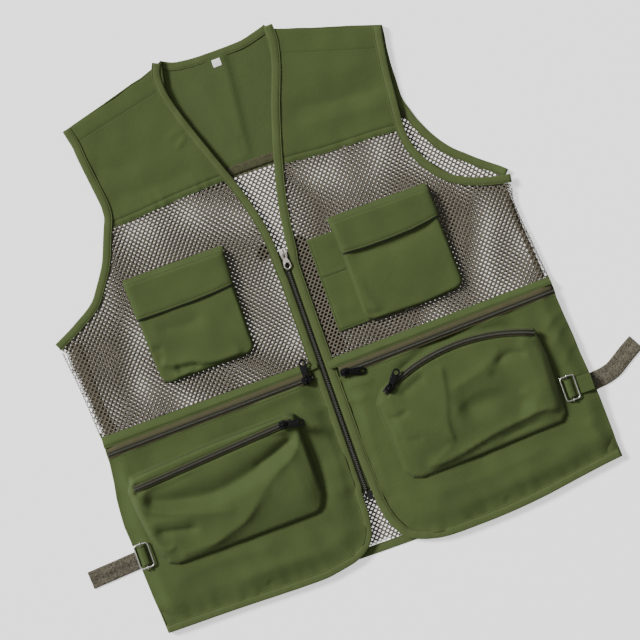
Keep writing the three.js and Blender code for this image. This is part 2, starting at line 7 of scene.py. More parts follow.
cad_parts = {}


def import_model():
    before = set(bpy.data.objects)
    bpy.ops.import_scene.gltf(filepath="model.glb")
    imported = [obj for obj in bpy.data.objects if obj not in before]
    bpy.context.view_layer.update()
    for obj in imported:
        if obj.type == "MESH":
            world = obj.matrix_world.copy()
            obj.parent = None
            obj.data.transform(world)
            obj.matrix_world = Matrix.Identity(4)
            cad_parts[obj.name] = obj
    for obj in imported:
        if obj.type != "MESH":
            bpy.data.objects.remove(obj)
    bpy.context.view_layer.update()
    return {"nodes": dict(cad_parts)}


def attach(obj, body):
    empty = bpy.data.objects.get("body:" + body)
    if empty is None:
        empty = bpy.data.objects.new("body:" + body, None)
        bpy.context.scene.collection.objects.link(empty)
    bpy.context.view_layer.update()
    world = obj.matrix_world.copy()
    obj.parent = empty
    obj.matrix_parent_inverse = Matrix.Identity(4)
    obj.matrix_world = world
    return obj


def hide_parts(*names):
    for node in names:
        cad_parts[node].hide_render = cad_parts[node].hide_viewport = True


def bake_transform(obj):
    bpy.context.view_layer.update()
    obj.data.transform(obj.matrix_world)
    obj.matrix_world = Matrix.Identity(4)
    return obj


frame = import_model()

CX, CY = 8.0, 3.0
WORLD, KEY, TOP, FLOOR_GLOW = 0.20, 5.2, 13.0, 0.75
N = frame["nodes"]

# ---------------------------------------------------------------- outlines
R_SHOULDER = [[-62, 323.5], [-69, 320.3], [-80, 315.9], [-91.5, 311.8], [-102.7, 309.5], [-125.5, 303], [-150, 295.9], [-171, 290.2], [-199.2, 282.4]]
R_ARM = [[-199.2, 282.4], [-194.5, 261.8], [-193.6, 250], [-191.4, 230], [-188, 202.7], [-185.9, 184.5], [-186.8, 171], [-191.4, 159.5], [-196, 148.2], [-200.5, 136.8], [-206.1, 123.2], [-211.8, 113], [-221, 99.3], [-232.3, 83.4], [-243.6, 74.3], [-257.3, 66.4], [-268.6, 60], [-291, 49]]
R_SIDE = [[-289, 39.5], [-286.5, 37], [-284.5, 19], [-282.3, 3], [-279.5, -31], [-277.3, -67], [-276.3, -76.3], [-277, -94.5], [-276.9, -103.5], [-280, -128.5], [-283.4, -146.7], [-285, -167], [-285.7, -180.8], [-284.5, -196.7], [-282.9, -235], [-281.3, -269.4], [-279.5, -292], [-278.2, -316]]
R_HEM = [[-278.2, -316], [-193.6, -316.2], [-150, -317], [-112, -317.6], [-80, -317.2], [-61.8, -314.4], [-46, -311.3], [-38, -308.6], [-30, -304.6], [-23, -299.5], [-16.5, -291], [-12.5, -281], [-10, -267], [-8.8, -251], [-8.6, -236], [-7.2, -231], [-6.9, -225]]
R_EDGE = [[-6.9, -225], [-6.9, 34], [-7.8, 39], [-7.8, 60], [-8.5, 80], [-11.4, 102.7], [-16.8, 125.5], [-23.2, 148.2], [-31.1, 170.9], [-39.5, 193.6], [-45.9, 211.8], [-52.3, 230], [-59.1, 250], [-65.2, 270.9], [-68.2, 284.5], [-69.5, 300], [-68.6, 309.5], [-64, 320]]
L_SHOULDER = [[65.5, 323.3], [69.5, 318.6], [76.4, 314.1], [90, 309.5], [103.6, 305.7], [117.3, 300.9], [135.5, 295.5], [160.5, 288.2], [178.6, 282.3], [198.2, 276.4]]
L_ARM_BACK = [[198.2, 276.4], [196.8, 264], [194.5, 250], [192.7, 230], [192.3, 211.8], [191.6, 193.6], [192.3, 184.5], [195.7, 173.2], [199.1, 161.8], [204.8, 148.2], [210.5, 136.8], [218.4, 124.3], [228.6, 111.8], [240, 101.6], [251.4, 91.4], [262.7, 82.3], [274.1, 73.2], [281.6, 66]]
L_ARM_FRONT = [[195.7, 275.5], [193, 262], [190, 243.6], [187.3, 223.2], [185.9, 207.3], [184.3, 189], [183.2, 175.5], [182, 161.8], [182, 148.2], [183.2, 136.8], [185.9, 126.6], [190, 116.4], [195.7, 106.1], [203.6, 94.8], [211.6, 86.8], [221.8, 78.9], [235.5, 72], [251.4, 66.4], [269.5, 61.8], [281.6, 60]]
L_SIDE = [[278.2, 46.5], [274.5, 30.5], [274.5, 22.6], [276, 1], [278.2, -17], [280.5, -42], [283.2, -67.2], [284.6, -85.3], [283.8, -94.4], [285, -112.6], [287.7, -144.4], [288.6, -167], [290.5, -187.6], [291.2, -196.7], [293, -224], [293.6, -246.7], [294.1, -269.4], [294, -278.5], [295, -297.4]]
L_HEM = [[295, -297.4], [274, -299.7], [240, -304.6], [194.5, -311.5], [149, -316], [103.6, -317.8], [69.5, -317.6], [49, -313.8], [33.2, -308], [21.8, -301.2], [13.9, -288.8], [9.3, -278.5], [5.6, -265], [3.6, -251], [2.9, -240]]
L_EDGE = [[2.9, -240], [2.9, 50], [4.1, 60], [6.4, 80], [9.5, 102.7], [13.6, 125.5], [19.1, 148.2], [24.1, 167.3], [28.2, 182.3], [33.6, 200], [43, 230], [50.5, 250], [58.2, 270.9], [62.3, 284.5], [65.7, 300], [65.9, 309.5], [65.5, 320]]
BACK_NECK = [[-62, 323.5], [-50, 317.6], [-39, 315.7], [-25.5, 314.5], [0, 314.2], [20, 314.6], [35.5, 315.5], [46.8, 318.2], [55.9, 320.5], [65.5, 323.3]]
BACK_HEM = [[-277.8, -309], [-130, -309.6], [0, -310], [110, -309], [200, -304], [240, -300], [293.4, -294]]
R_YOKE_SEAM = [[-192.9, 155.2], [-181, 155.6], [-150, 157.3], [-125.5, 159.5], [-100, 161.8], [-80, 163], [-57.3, 164], [-29.2, 165.2]]
L_YOKE_SEAM = [[181.8, 151.4], [171.8, 152.3], [149, 154], [126, 154.5], [103.6, 155], [81, 155.8], [58.2, 158], [36.6, 159.6], [22.2, 160]]
R_SHOULDER_SEAM = [[-195, 263.4], [-187, 265], [-135, 277], [-83, 289], [-68.6, 291.4]]
L_SHOULDER_SEAM = [[191.4, 251], [177, 253.5], [127, 268], [77, 283], [62.3, 286.4]]
R_CHEST = [[-191, 93.2], [-189.4, 43.5], [-188.2, 0], [-186.4, -29], [-183.6, -36], [-177, -39], [-130, -38], [-79, -36.6], [-72.4, -33.4], [-70.2, -27], [-69.6, 20], [-69.6, 46.5], [-67.4, 93.8]]
L_CHEST = [[60.6, 82.4], [62.4, 40], [63.2, 0], [63.8, -38], [66.6, -45.4], [73, -48.8], [138, -50], [177, -46.6], [184.4, -43.4], [187, -37], [186.6, -20], [185.2, 20], [184.6, 42], [183, 83.2]]
R_FLAP = [[-191.6, 93.4], [-190, 43.6], [-160, 43.2], [-120, 43.4], [-90, 44.8], [-69, 46.6], [-66.8, 94]]
L_FLAP = [[60, 82.6], [63, 37.4], [90, 35.6], [120, 35.6], [150, 37], [172, 40], [185.2, 42.4], [183.6, 83.5]]
R_CARGO = [[-259.5, -126.5], [-268, -143], [-266, -170], [-262, -200], [-256, -226], [-250, -238], [-238, -243], [-150, -242], [-64, -240], [-57, -234.6], [-51.4, -221], [-51, -145], [-52.5, -122], [-60, -117.5], [-150, -119.5]]
L_CARGO = [[42.4, -143], [44.4, -182], [47.6, -230], [54, -238.6], [66, -243], [138, -240.6], [242, -235.4], [249.8, -227], [250.2, -190], [250.6, -156], [248.6, -136]]
R_ZIP = [[-275.4, -94.6], [-17.6, -88.6]]
L_ZIP = [[13.8, -95.2], [282.6, -86.8]]
R_CARGO_ZIP = [[-260, -142.6], [-59, -127.6]]
ARC = dict(x=157.3, y=-323.5, r=216.2, middle=-2.44, span=51.6)
R_BUCKLE, L_BUCKLE = (-274.4, -219.6), (262.6, -200.8)


def bearing(t):
    return math.radians(ARC["middle"] + (t - 0.5) * ARC["span"])


def arc_at(t, r=None):
    r = ARC["r"] if r is None else r
    return [ARC["x"] + math.sin(bearing(t)) * r, ARC["y"] + math.cos(bearing(t)) * r]


L_CARGO_ZIP = [arc_at(i / 30) for i in range(31)]
L_CARGO_OUT = L_CARGO + [arc_at(1 - i / 24, ARC["r"] + 5) for i in range(25)]


# ---------------------------------------------------------------- 2-D helpers
def world(p):
    q = np.array(p, float)
    q[:, 0] -= CX
    q[:, 1] -= CY
    return q / 1000.0


def resample(line, step, closed=False):
    p = np.array(line, float)
    if closed:
        p = np.vstack([p, p[:1]])
    seg = np.linalg.norm(np.diff(p, axis=0), axis=1)
    s = np.concatenate([[0], np.cumsum(seg)])
    n = max(2, int(round(s[-1] / step)))
    t = np.linspace(0, s[-1], n + 1)
    out = np.stack([np.interp(t, s, p[:, 0]), np.interp(t, s, p[:, 1])], 1)
    return out[:-1] if closed else out


def curved(line, step=3.0, keep=35.0):
    """A smooth line through the points, with corners sharper than keep degrees left as they are."""
    p = np.array(line, float)
    n = len(p)
    sharp = {0, n - 1}
    for i in range(1, n - 1):
        a, b = p[i] - p[i - 1], p[i + 1] - p[i]
        c = (a @ b) / (np.linalg.norm(a) * np.linalg.norm(b) + 1e-9)
        if c < math.cos(math.radians(keep)):
            sharp.add(i)
    out = []
    for i in range(n - 1):
        p1, p2 = p[i], p[i + 1]
        p0 = p[i - 1] if i > 0 and i not in sharp else 2 * p1 - p2
        p3 = p[i + 2] if i + 2 < n and i + 1 not in sharp else 2 * p2 - p1
        d = np.linalg.norm(p2 - p1)
        d0, d3 = max(np.linalg.norm(p1 - p0), 1e-3), max(np.linalg.norm(p3 - p2), 1e-3)
        m1 = (p2 - p0) / (d + d0) * d
        m2 = (p3 - p1) / (d + d3) * d
        k = max(1, int(d / step))
        for j in range(k):
            t = j / k
            out.append((2 * t**3 - 3 * t**2 + 1) * p1 + (t**3 - 2 * t**2 + t) * m1 + (-2 * t**3 + 3 * t**2) * p2 + (t**3 - t**2) * m2)
    out.append(p[-1])
    return np.array(out)


def normals(p, closed=False):
    """Unit normals to the left of the line's direction."""
    if closed:
        t = np.roll(p, -1, 0) - np.roll(p, 1, 0)
    else:
        t = np.gradient(p, axis=0)
    t = t / (np.linalg.norm(t, axis=1)[:, None] + 1e-12)
    return np.stack([-t[:, 1], t[:, 0]], 1)


def shift(line, d):
    p = np.array(line, float)
    return p + normals(p) * d


def area(p):
    x, y = p[:, 0], p[:, 1]
    return 0.5 * float((x * np.roll(y, -1) - np.roll(x, -1) * y).sum())


def near(line, x, y, closed=False):
    """Distance to a line, the side (positive on its left) and the place along it from 0 to 1."""
    p = np.array(line, float)
    if closed:
        p = np.vstack([p, p[:1]])
    x, y = np.asarray(x, float), np.asarray(y, float)
    best = np.full(x.shape, 1e18)
    side = np.zeros(x.shape)
    at = np.zeros(x.shape)
    seg = np.linalg.norm(np.diff(p, axis=0), axis=1)
    cum = np.concatenate([[0], np.cumsum(seg)])
    for i in range(len(p) - 1):
        a, d = p[i], p[i + 1] - p[i]
        l2 = max(d @ d, 1e-12)
        t = np.clip(((x - a[0]) * d[0] + (y - a[1]) * d[1]) / l2, 0, 1)
        dx, dy = x - a[0] - t * d[0], y - a[1] - t * d[1]
        q = dx * dx + dy * dy
        m = q < best
        best = np.where(m, q, best)
        side = np.where(m, np.sign(d[0] * dy - d[1] * dx), side)
        at = np.where(m, (cum[i] + t * seg[i]) / cum[-1], at)
    return np.sqrt(best), side, at


def inside(poly, x, y):
    p = np.array(poly, float)
    r = np.zeros(np.shape(x), bool)
    q = np.roll(p, -1, 0)
    for (x0, y0), (x1, y1) in zip(p, q):
        if y0 == y1:
            continue
        c = (y0 > y) != (y1 > y)
        r ^= c & (x < (x1 - x0) * (y - y0) / (y1 - y0) + x0)
    return r


def smooth(a, b, v):
    t = np.clip((v - a) / (b - a), 0, 1)
    return t * t * (3 - 2 * t)


def waves(x, y, seed, length, height, along=None, n=7):
    """Gentle undulation: a sum of sines of about that wavelength."""
    r = np.random.RandomState(seed)
    z = 0.0
    for _ in range(n):
        a = r.uniform(0, 2 * math.pi) if along is None else math.radians(along) + r.normal(0, 0.35)
        l = length * r.uniform(0.65, 1.5)
        z = z + np.sin((x * math.cos(a) + y * math.sin(a)) * 2 * math.pi / l + r.uniform(0, 6.28))
    return z * height / math.sqrt(n)


def fold(x, y, pts, h, left, right, ends=0.22, p=1.35):
    """A crease: height h on the line, dying away over left and right millimetres on its two sides."""
    d, s, t = near(curved(pts, 4.0, 80), x, y)
    w = np.where(s >= 0, left, right)
    taper = smooth(0, ends, t) * smooth(0, ends, 1 - t)
    taper = 0.12 + 0.88 * taper if ends < 0.05 else taper
    return h * np.exp(-((d / w) ** p)) * taper


def dent(x, y, cx, cy, rx, ry, h, turn=0.0):
    c, s = math.cos(math.radians(turn)), math.sin(math.radians(turn))
    u, v = (x - cx) * c + (y - cy) * s, -(x - cx) * s + (y - cy) * c
    return h * np.exp(-(u / rx) ** 2 - (v / ry) ** 2)


def pucker(x, y, line, h, length, reach, seed=0):
    d, s, t = near(line, x, y)
    p = np.array(line, float)
    total = np.linalg.norm(np.diff(p, axis=0), axis=1).sum()
    u = t * total
    r = np.random.RandomState(seed)
    z = 0.0
    for k in range(4):
        z = z + np.sin(u * 2 * math.pi / (length * r.uniform(0.6, 1.7)) + r.uniform(0, 6.3))
    return z * h / 2 * np.exp(-d / reach)


# ---------------------------------------------------------------- mesh helpers
class Mesh:
    def __init__(self):
        self.v, self.f, self.m, self.s, self.n = [], [], [], [], 0

    def add(self, v, f, m=0, smooth=True):
        v = np.asarray(v, float)
        k = self.n
        self.v.append(v)
        self.f += [tuple(int(i) + k for i in t) for t in f]
        self.m += [m] * len(f)
        self.s += [smooth] * len(f)
        self.n += len(v)
        return self

    def make(self, name, mats, soft_edge=None):
        v = world(np.vstack(self.v))
        me = bpy.data.meshes.new(name)
        me.from_pydata(v.tolist(), [], self.f)
        for m in mats:
            me.materials.append(m)
        me.polygons.foreach_set("material_index", self.m)
        me.polygons.foreach_set("use_smooth", self.s)
        me.validate()
        me.update()
        o = bpy.data.objects.new(name, me)
        bpy.context.scene.collection.objects.link(o)
        if soft_edge is not None:
            for e in me.edges:
                pass
            me.set_sharp_from_angle(angle=math.radians(soft_edge))
        return o


def stitches(b, line, zf, m=1, pitch=3.0, length=2.1, w=0.42, h=0.28):
    """A row of short thread stitches lying on the cloth."""
    p = resample(line, pitch)
    if len(p) < 3:
        return
    nn = normals(p)
    mid = (p[:-1] + p[1:]) / 2
    tt = p[1:] - p[:-1]
    tt /= np.linalg.norm(tt, axis=1)[:, None] + 1e-9
    nm = np.stack([-tt[:, 1], tt[:, 0]], 1)
    a, c = mid - tt * length / 2, mid + tt * length / 2
    q = []
    for base, dz in ((a, -0.12), (mid, 0.0), (c, -0.12)):
        for k, up in ((-1, 0), (0, 1), (1, 0)):
            xy = base + nm * k * w / 2
            z = zf(xy[:, 0], xy[:, 1]) + up * h + dz * (1 if up else 0)
            q.append(np.column_stack([xy, z]))
    v = np.stack(q, 1)
    f = []
    for i in range(len(mid)):
        o = i * 9
        for r in (0, 3):
            for k in (0, 1):
                f.append((o + r + k, o + r + k + 1, o + r + k + 4, o + r + k + 3))
            f.append((o + r + 2, o + r, o + r + 3, o + r + 5))
        f += [(o + 2, o + 1, o), (o + 6, o + 7, o + 8)]
    b.add(v.reshape(-1, 3), f, m)


def sheet(b, outline, zf, th=0.6, res=3.4, rings=(), seams=(), m=0, mt=1, rim=0.25, stitch=True, under=None):
    """A closed thin solid over an outline. zf(x, y, d) is its top, d being the distance from the outline.
    seams are (line, groove depth, stitched)."""
    o = resample(outline, res, True)
    if area(o) < 0:
        o = o[::-1]
    nn = normals(o, True)
    pts = [o]
    top = max(rings) if len(rings) else 0.0
    for d in rings:
        q = o + nn * d
        dd, _, _ = near(o, q[:, 0], q[:, 1], True)
        q = q[(dd > 0.8 * d) & inside(o, q[:, 0], q[:, 1])]
        pts.append(q)
    lines = []
    for line, depth, *rest in seams:
        p = resample(line, 2.6)
        l2 = normals(p)
        for a in (-1.5, -0.6, 0.0, 0.6, 1.5):
            q = p + l2 * a
            dd, _, _ = near(o, q[:, 0], q[:, 1], True)
            pts.append(q[(dd > max(0.7, 0.0)) & inside(o, q[:, 0], q[:, 1])])
        lines.append((p, depth, rest[0] if rest else True))
    lo, hi = o.min(0), o.max(0)
    gx, gy = np.arange(lo[0], hi[0], res), np.arange(lo[1], hi[1], res * 0.866)
    X, Y = np.meshgrid(gx, gy)
    X[1::2] += res / 2
    g = np.column_stack([X.ravel(), Y.ravel()])
    g = g[inside(o, g[:, 0], g[:, 1])]
    dd, _, _ = near(o, g[:, 0], g[:, 1], True)
    g = g[dd > top + 0.5 * res]
    for p, _, _ in lines:
        dd, _, _ = near(p, g[:, 0], g[:, 1])
        g = g[dd > 1.5 + 0.45 * res]
    pts.append(g)
    n0 = len(o)
    allp = np.vstack(pts)
    # points that nearly touch make slivers
    key = np.round(allp / 0.45).astype(np.int64)
    seen, keep = set(), []
    for i, k in enumerate(map(tuple, key)):
        if i < n0 or k not in seen:
            keep.append(i)
        seen.add(k)
    allp = allp[keep]
    out = delaunay_2d_cdt([Vector((float(a), float(c))) for a, c in allp], [(i, (i + 1) % n0) for i in range(n0)], [], 1, 1e-5)
    v2 = np.array([[p.x, p.y] for p in out[0]])
    tri = np.array([t for t in out[2] if len(t) == 3], int)
    d, _, _ = near(o, v2[:, 0], v2[:, 1], True)
    z = zf(v2[:, 0], v2[:, 1], d)
    for p, depth, _ in lines:
        s, _, _ = near(p, v2[:, 0], v2[:, 1])
        z = z - 1.8 * depth * np.exp(-((s / 0.85) ** 2)) + 0.5 * depth * np.exp(-(((s - 2.4) / 1.3) ** 2))
    n = len(v2)
    e = np.concatenate([tri[:, [0, 1]], tri[:, [1, 2]], tri[:, [2, 0]]])
    es, idx, cnt = np.unique(np.sort(e, 1), axis=0, return_index=True, return_counts=True)
    border = e[idx[cnt == 1]]
    low = z - th if under is None else np.minimum(under(v2[:, 0], v2[:, 1], d), z - 0.2)
    top3, bot3 = np.column_stack([v2, z]), np.column_stack([v2, low])
    used = np.unique(border)
    pos = {int(k): i for i, k in enumerate(used)}
    cen = np.zeros((n, 2))
    for i, j in border:
        t = v2[j] - v2[i]
        t /= np.linalg.norm(t) + 1e-9
        nv = np.array([t[1], -t[0]])
        cen[i] += nv
        cen[j] += nv
    cn = cen[used]
    cn /= np.linalg.norm(cn, axis=1)[:, None] + 1e-9
    midv = np.column_stack([v2[used] + cn * rim, (z[used] + low[used]) / 2])
    V = np.vstack([top3, bot3, midv])
    F = [tuple(t) for t in tri] + [tuple(t[::-1] + n) for t in tri]
    for i, j in border:
        a, c = pos[int(i)] + 2 * n, pos[int(j)] + 2 * n
        F += [(j, i, a, c), (c, a, i + n, j + n)]
    b.add(V, F, m)
    if stitch:
        for p, depth, st in lines:
            if st:
                def zs(x, y, p=p, depth=depth):
                    dd, _, _ = near(o, x, y, True)
                    return zf(x, y, dd) - depth * 0.9
                dd, _, _ = near(o, p[:, 0], p[:, 1], True)
                ok = inside(o, p[:, 0], p[:, 1]) & (dd > 0.8)
                if ok.sum() > 3:
                    stitches(b, p[ok], zs, mt)
    return abs(area(o))


def sweep(b, line, profile, zf, m=0, closed=False, step=4.0, cap=True, is_smooth=True, loop=True, turn=None):
    """A strip along a line. profile is a list of (offset to the left, height above zf)."""
    p = resample(line, step, closed)
    nn = normals(p, closed)
    k = len(profile)
    rows = []
    for a, c in profile:
        q = p + nn * a
        z = zf(q[:, 0], q[:, 1]) + c
        rows.append(np.column_stack([q, z]))
    v = np.stack(rows, 1).reshape(-1, 3)
    f = []
    n = len(p)
    for i in range(n if closed else n - 1):
        j = (i + 1) % n
        for c in range(k if loop else k - 1):
            d = (c + 1) % k
            f.append((i * k + c, j * k + c, j * k + d, i * k + d))
    if loop and cap and not closed:
        f.append(tuple(range(k)))
        f.append(tuple((n - 1) * k + c for c in reversed(range(k))))
    b.add(v, f, m, is_smooth)
    return float(np.linalg.norm(np.diff(p, axis=0), axis=1).sum())


def binding_profile(w, s=1, h=0.75, t=1.0, groove=(1.5,)):
    """Folded tape w wide on the left (s = 1) or right (s = -1) of its line, with stitch grooves that far from the inner edge."""
    pts = [(0.0, -0.55 * t), (-0.25, -0.2), (0.0, 0.15), (0.7, 0.45), (2.2, h)]
    pts.append((w * 0.5, h * 0.9))
    for g in sorted(groove, reverse=True):
        pts += [(w - g - 1.0, h * 0.90), (w - g - 0.4, h * 0.45), (w - g, h * 0.02), (w - g + 0.4, h * 0.45), (w - g + 0.8, h * 0.78)]
    pts += [(w - 0.2, 0.35), (w, 0.05), (w - 0.15, -0.45 * t), (w * 0.5, -t * 0.8)]
    return [(a * s, c) for a, c in pts]


def binding(b, line, w, zf, s=1, groove=(1.5,), seed=1, step=3.2, h=0.75, m=0, mt=1, t=1.0, rough=0.16):
    def z(x, y):
        return zf(x, y) + waves(x, y, seed, 17, rough) + waves(x, y, seed + 5, 7, rough * 0.35)
    p = curved(line, step)
    sweep(b, p, binding_profile(w, s, h, t, groove), z, m, step=step)
    for g in groove:
        stitches(b, shift(resample(p, 3.0), s * (w - g)), lambda x, y: z(x, y) + h * 0.06, mt)


def tube(b, pts3, r, m=0, closed=False, sides=10, is_smooth=True):
    p = np.array(pts3, float)
    n = len(p)
    t = (np.roll(p, -1, 0) - np.roll(p, 1, 0)) if closed else np.gradient(p, axis=0)
    t /= np.linalg.norm(t, axis=1)[:, None] + 1e-12
    up = np.array([0, 0, 1.0])
    v = []
    for i in range(n):
        a = np.cross(t[i], up)
        if np.linalg.norm(a) < 1e-3:
            a = np.array([1.0, 0, 0])
        a /= np.linalg.norm(a)
        c = np.cross(a, t[i])
        rr = r[i] if hasattr(r, "__len__") else r
        for k in range(sides):
            g = 2 * math.pi * k / sides
            v.append(p[i] + rr * (math.cos(g) * a + math.sin(g) * c))
    f = []
    for i in range(n if closed else n - 1):
        j = (i + 1) % n
        for k in range(sides):
            d = (k + 1) % sides
            f.append((i * sides + k, i * sides + d, j * sides + d, j * sides + k))
    if not closed:
        f.append(tuple(range(sides)))
        f.append(tuple((n - 1) * sides + k for k in reversed(range(sides))))
    b.add(v, f, m, is_smooth)


def plate(b, outer, holes, z0, z1, bevel, place=(0, 0, 0), turn=0.0, tilt=0.0, m=0, segments=3):
    """A flat part with rounded edges: a filled curve, turned into mesh and set in place (millimetres).
    tilt drops its far end (radians) before it is turned about Z."""
    cu = bpy.data.curves.new("tmp", "CURVE")
    cu.dimensions = "2D"
    cu.fill_mode = "BOTH"
    for ring in [outer] + list(holes):
        sp = cu.splines.new("POLY")
        sp.points.add(len(ring) - 1)
        for i, (x, y) in enumerate(ring):
            sp.points[i].co = (x, y, 0, 1)
        sp.use_cyclic_u = True
    half = (z1 - z0) / 2
    cu.extrude = half - bevel
    cu.bevel_depth = bevel
    cu.offset = -bevel
    cu.bevel_resolution = segments
    ob = bpy.data.objects.new("tmp", cu)
    bpy.context.scene.collection.objects.link(ob)
    dg = bpy.context.evaluated_depsgraph_get()
    me = bpy.data.meshes.new_from_object(ob.evaluated_get(dg))
    v = np.array([list(x.co) for x in me.vertices], float).reshape(-1, 3)
    f = [tuple(x.vertices) for x in me.polygons]
    bpy.data.objects.remove(ob)
    bpy.data.curves.remove(cu)
    bpy.data.meshes.remove(me)
    v[:, 2] += (z0 + z1) / 2
    c, s = math.cos(tilt), math.sin(tilt)
    v = np.column_stack([v[:, 0] * c + v[:, 2] * s, v[:, 1], -v[:, 0] * s + v[:, 2] * c])
    c, s = math.cos(turn), math.sin(turn)
    v = np.column_stack([v[:, 0] * c - v[:, 1] * s, v[:, 0] * s + v[:, 1] * c, v[:, 2]])
    b.add(v + np.array(place, float), f, m)


CELL = np.array([(2.975, -0.451), (2.975, 0.451), (0, 3.009), (-2.975, 0.451), (-2.975, -0.451), (0, -3.009)])


def net(name, outline, zf, mats, hole=0.545, th=0.9, turn=0.0, off=(0, 0), warp=(0, 0, 60), size=1.0, fn=None, keep=None, margin=0.0):
    """Knitted net: a staggered lattice of six-sided holes with rounded strands. fn maps flat (x, y, z) to space."""
    o = resample(outline, 4.0, True)
    lo, hi = o.min(0) - 12, o.max(0) + 12
    px, py = 5.95 * size, 6.92 * size
    i, j = np.meshgrid(np.arange(int((hi[0] - lo[0]) / px) + 2), np.arange(int((hi[1] - lo[1]) / py) + 2))
    a = np.column_stack([i.ravel() * px, j.ravel() * py])
    c = np.vstack([a, a + [px / 2, py / 2]])
    mid = (hi - lo) / 2
    ct, st = math.cos(math.radians(turn)), math.sin(math.radians(turn))
    R = np.array([[ct, -st], [st, ct]])

    def place(q):
        q = (q - mid) @ R.T + mid + lo + np.array(off)
        if warp[0] or warp[1]:
            q = q + np.column_stack([waves(q[:, 0], q[:, 1], 91, warp[2], warp[0], n=4), waves(q[:, 0], q[:, 1], 92, warp[2], warp[1], n=4)])
        return q

    w = place(c)
    ok = inside(o, w[:, 0], w[:, 1])
    if keep is not None:
        ok &= keep(w[:, 0], w[:, 1])
    if margin:
        ok &= near(o, w[:, 0], w[:, 1], True)[0] > margin
    c = c[ok]
    n = len(c)
    corner = (c[:, None, :] + CELL[None] * size).reshape(-1, 2)
    rim = (c[:, None, :] + CELL[None] * size * np.array([hole * 1.04, hole * 0.98])).reshape(-1, 2)
    key, inv = np.unique(np.round(corner * 20).astype(np.int64), axis=0, return_inverse=True)
    inv = inv.reshape(-1)
    cor = np.zeros((len(key), 2))
    cor[inv] = corner
    cw, rw = place(cor), place(rim)
    K, H = len(cor), len(rim)
    zc, zr = zf(cw[:, 0], cw[:, 1]), zf(rw[:, 0], rw[:, 1])
    V = np.vstack([np.column_stack([cw, zc]), np.column_stack([cw, zc - th]), np.column_stack([rw, zr - th / 2])])
    if fn is not None:
        V = fn(V)
    idx = inv.reshape(n, 6)
    rid = np.arange(H).reshape(n, 6) + 2 * K
    nx = np.roll(np.arange(6), -1)
    top = np.stack([idx, idx[:, nx], rid[:, nx], rid], 2).reshape(-1, 4)
    bot = np.stack([idx[:, nx] + K, idx + K, rid, rid[:, nx]], 2).reshape(-1, 4)
    F = np.vstack([top, bot]).astype(np.int32)
    # the outline's own strands are closed by a wall
    e = np.concatenate([top[:, [0, 1]]])
    es, first, cnt = np.unique(np.sort(e, 1), axis=0, return_index=True, return_counts=True)
    wall = e[first[cnt == 1]]
    F = np.vstack([F, np.column_stack([wall[:, 1], wall[:, 0], wall[:, 0] + K, wall[:, 1] + K]).astype(np.int32)])
    V = world(V)
    me = bpy.data.meshes.new(name)
    me.vertices.add(len(V))
    me.vertices.foreach_set("co", V.astype(np.float32).ravel())
    me.loops.add(F.size)
    me.loops.foreach_set("vertex_index", F.ravel())
    me.polygons.add(len(F))
    me.polygons.foreach_set("loop_start", np.arange(0, F.size, 4, dtype=np.int32))
    me.polygons.foreach_set("loop_total", np.full(len(F), 4, np.int32))
    me.update(calc_edges=True)
    me.validate()
    me.polygons.foreach_set("use_smooth", np.ones(len(me.polygons), bool))
    for m in mats:
        me.materials.append(m)
    ob = bpy.data.objects.new(name, me)
    bpy.context.scene.collection.objects.link(ob)
    flat = n * 5.95 * 3.46 * size * size * (1 - hole * hole * 1.02)
    return ob, flat / 1e6


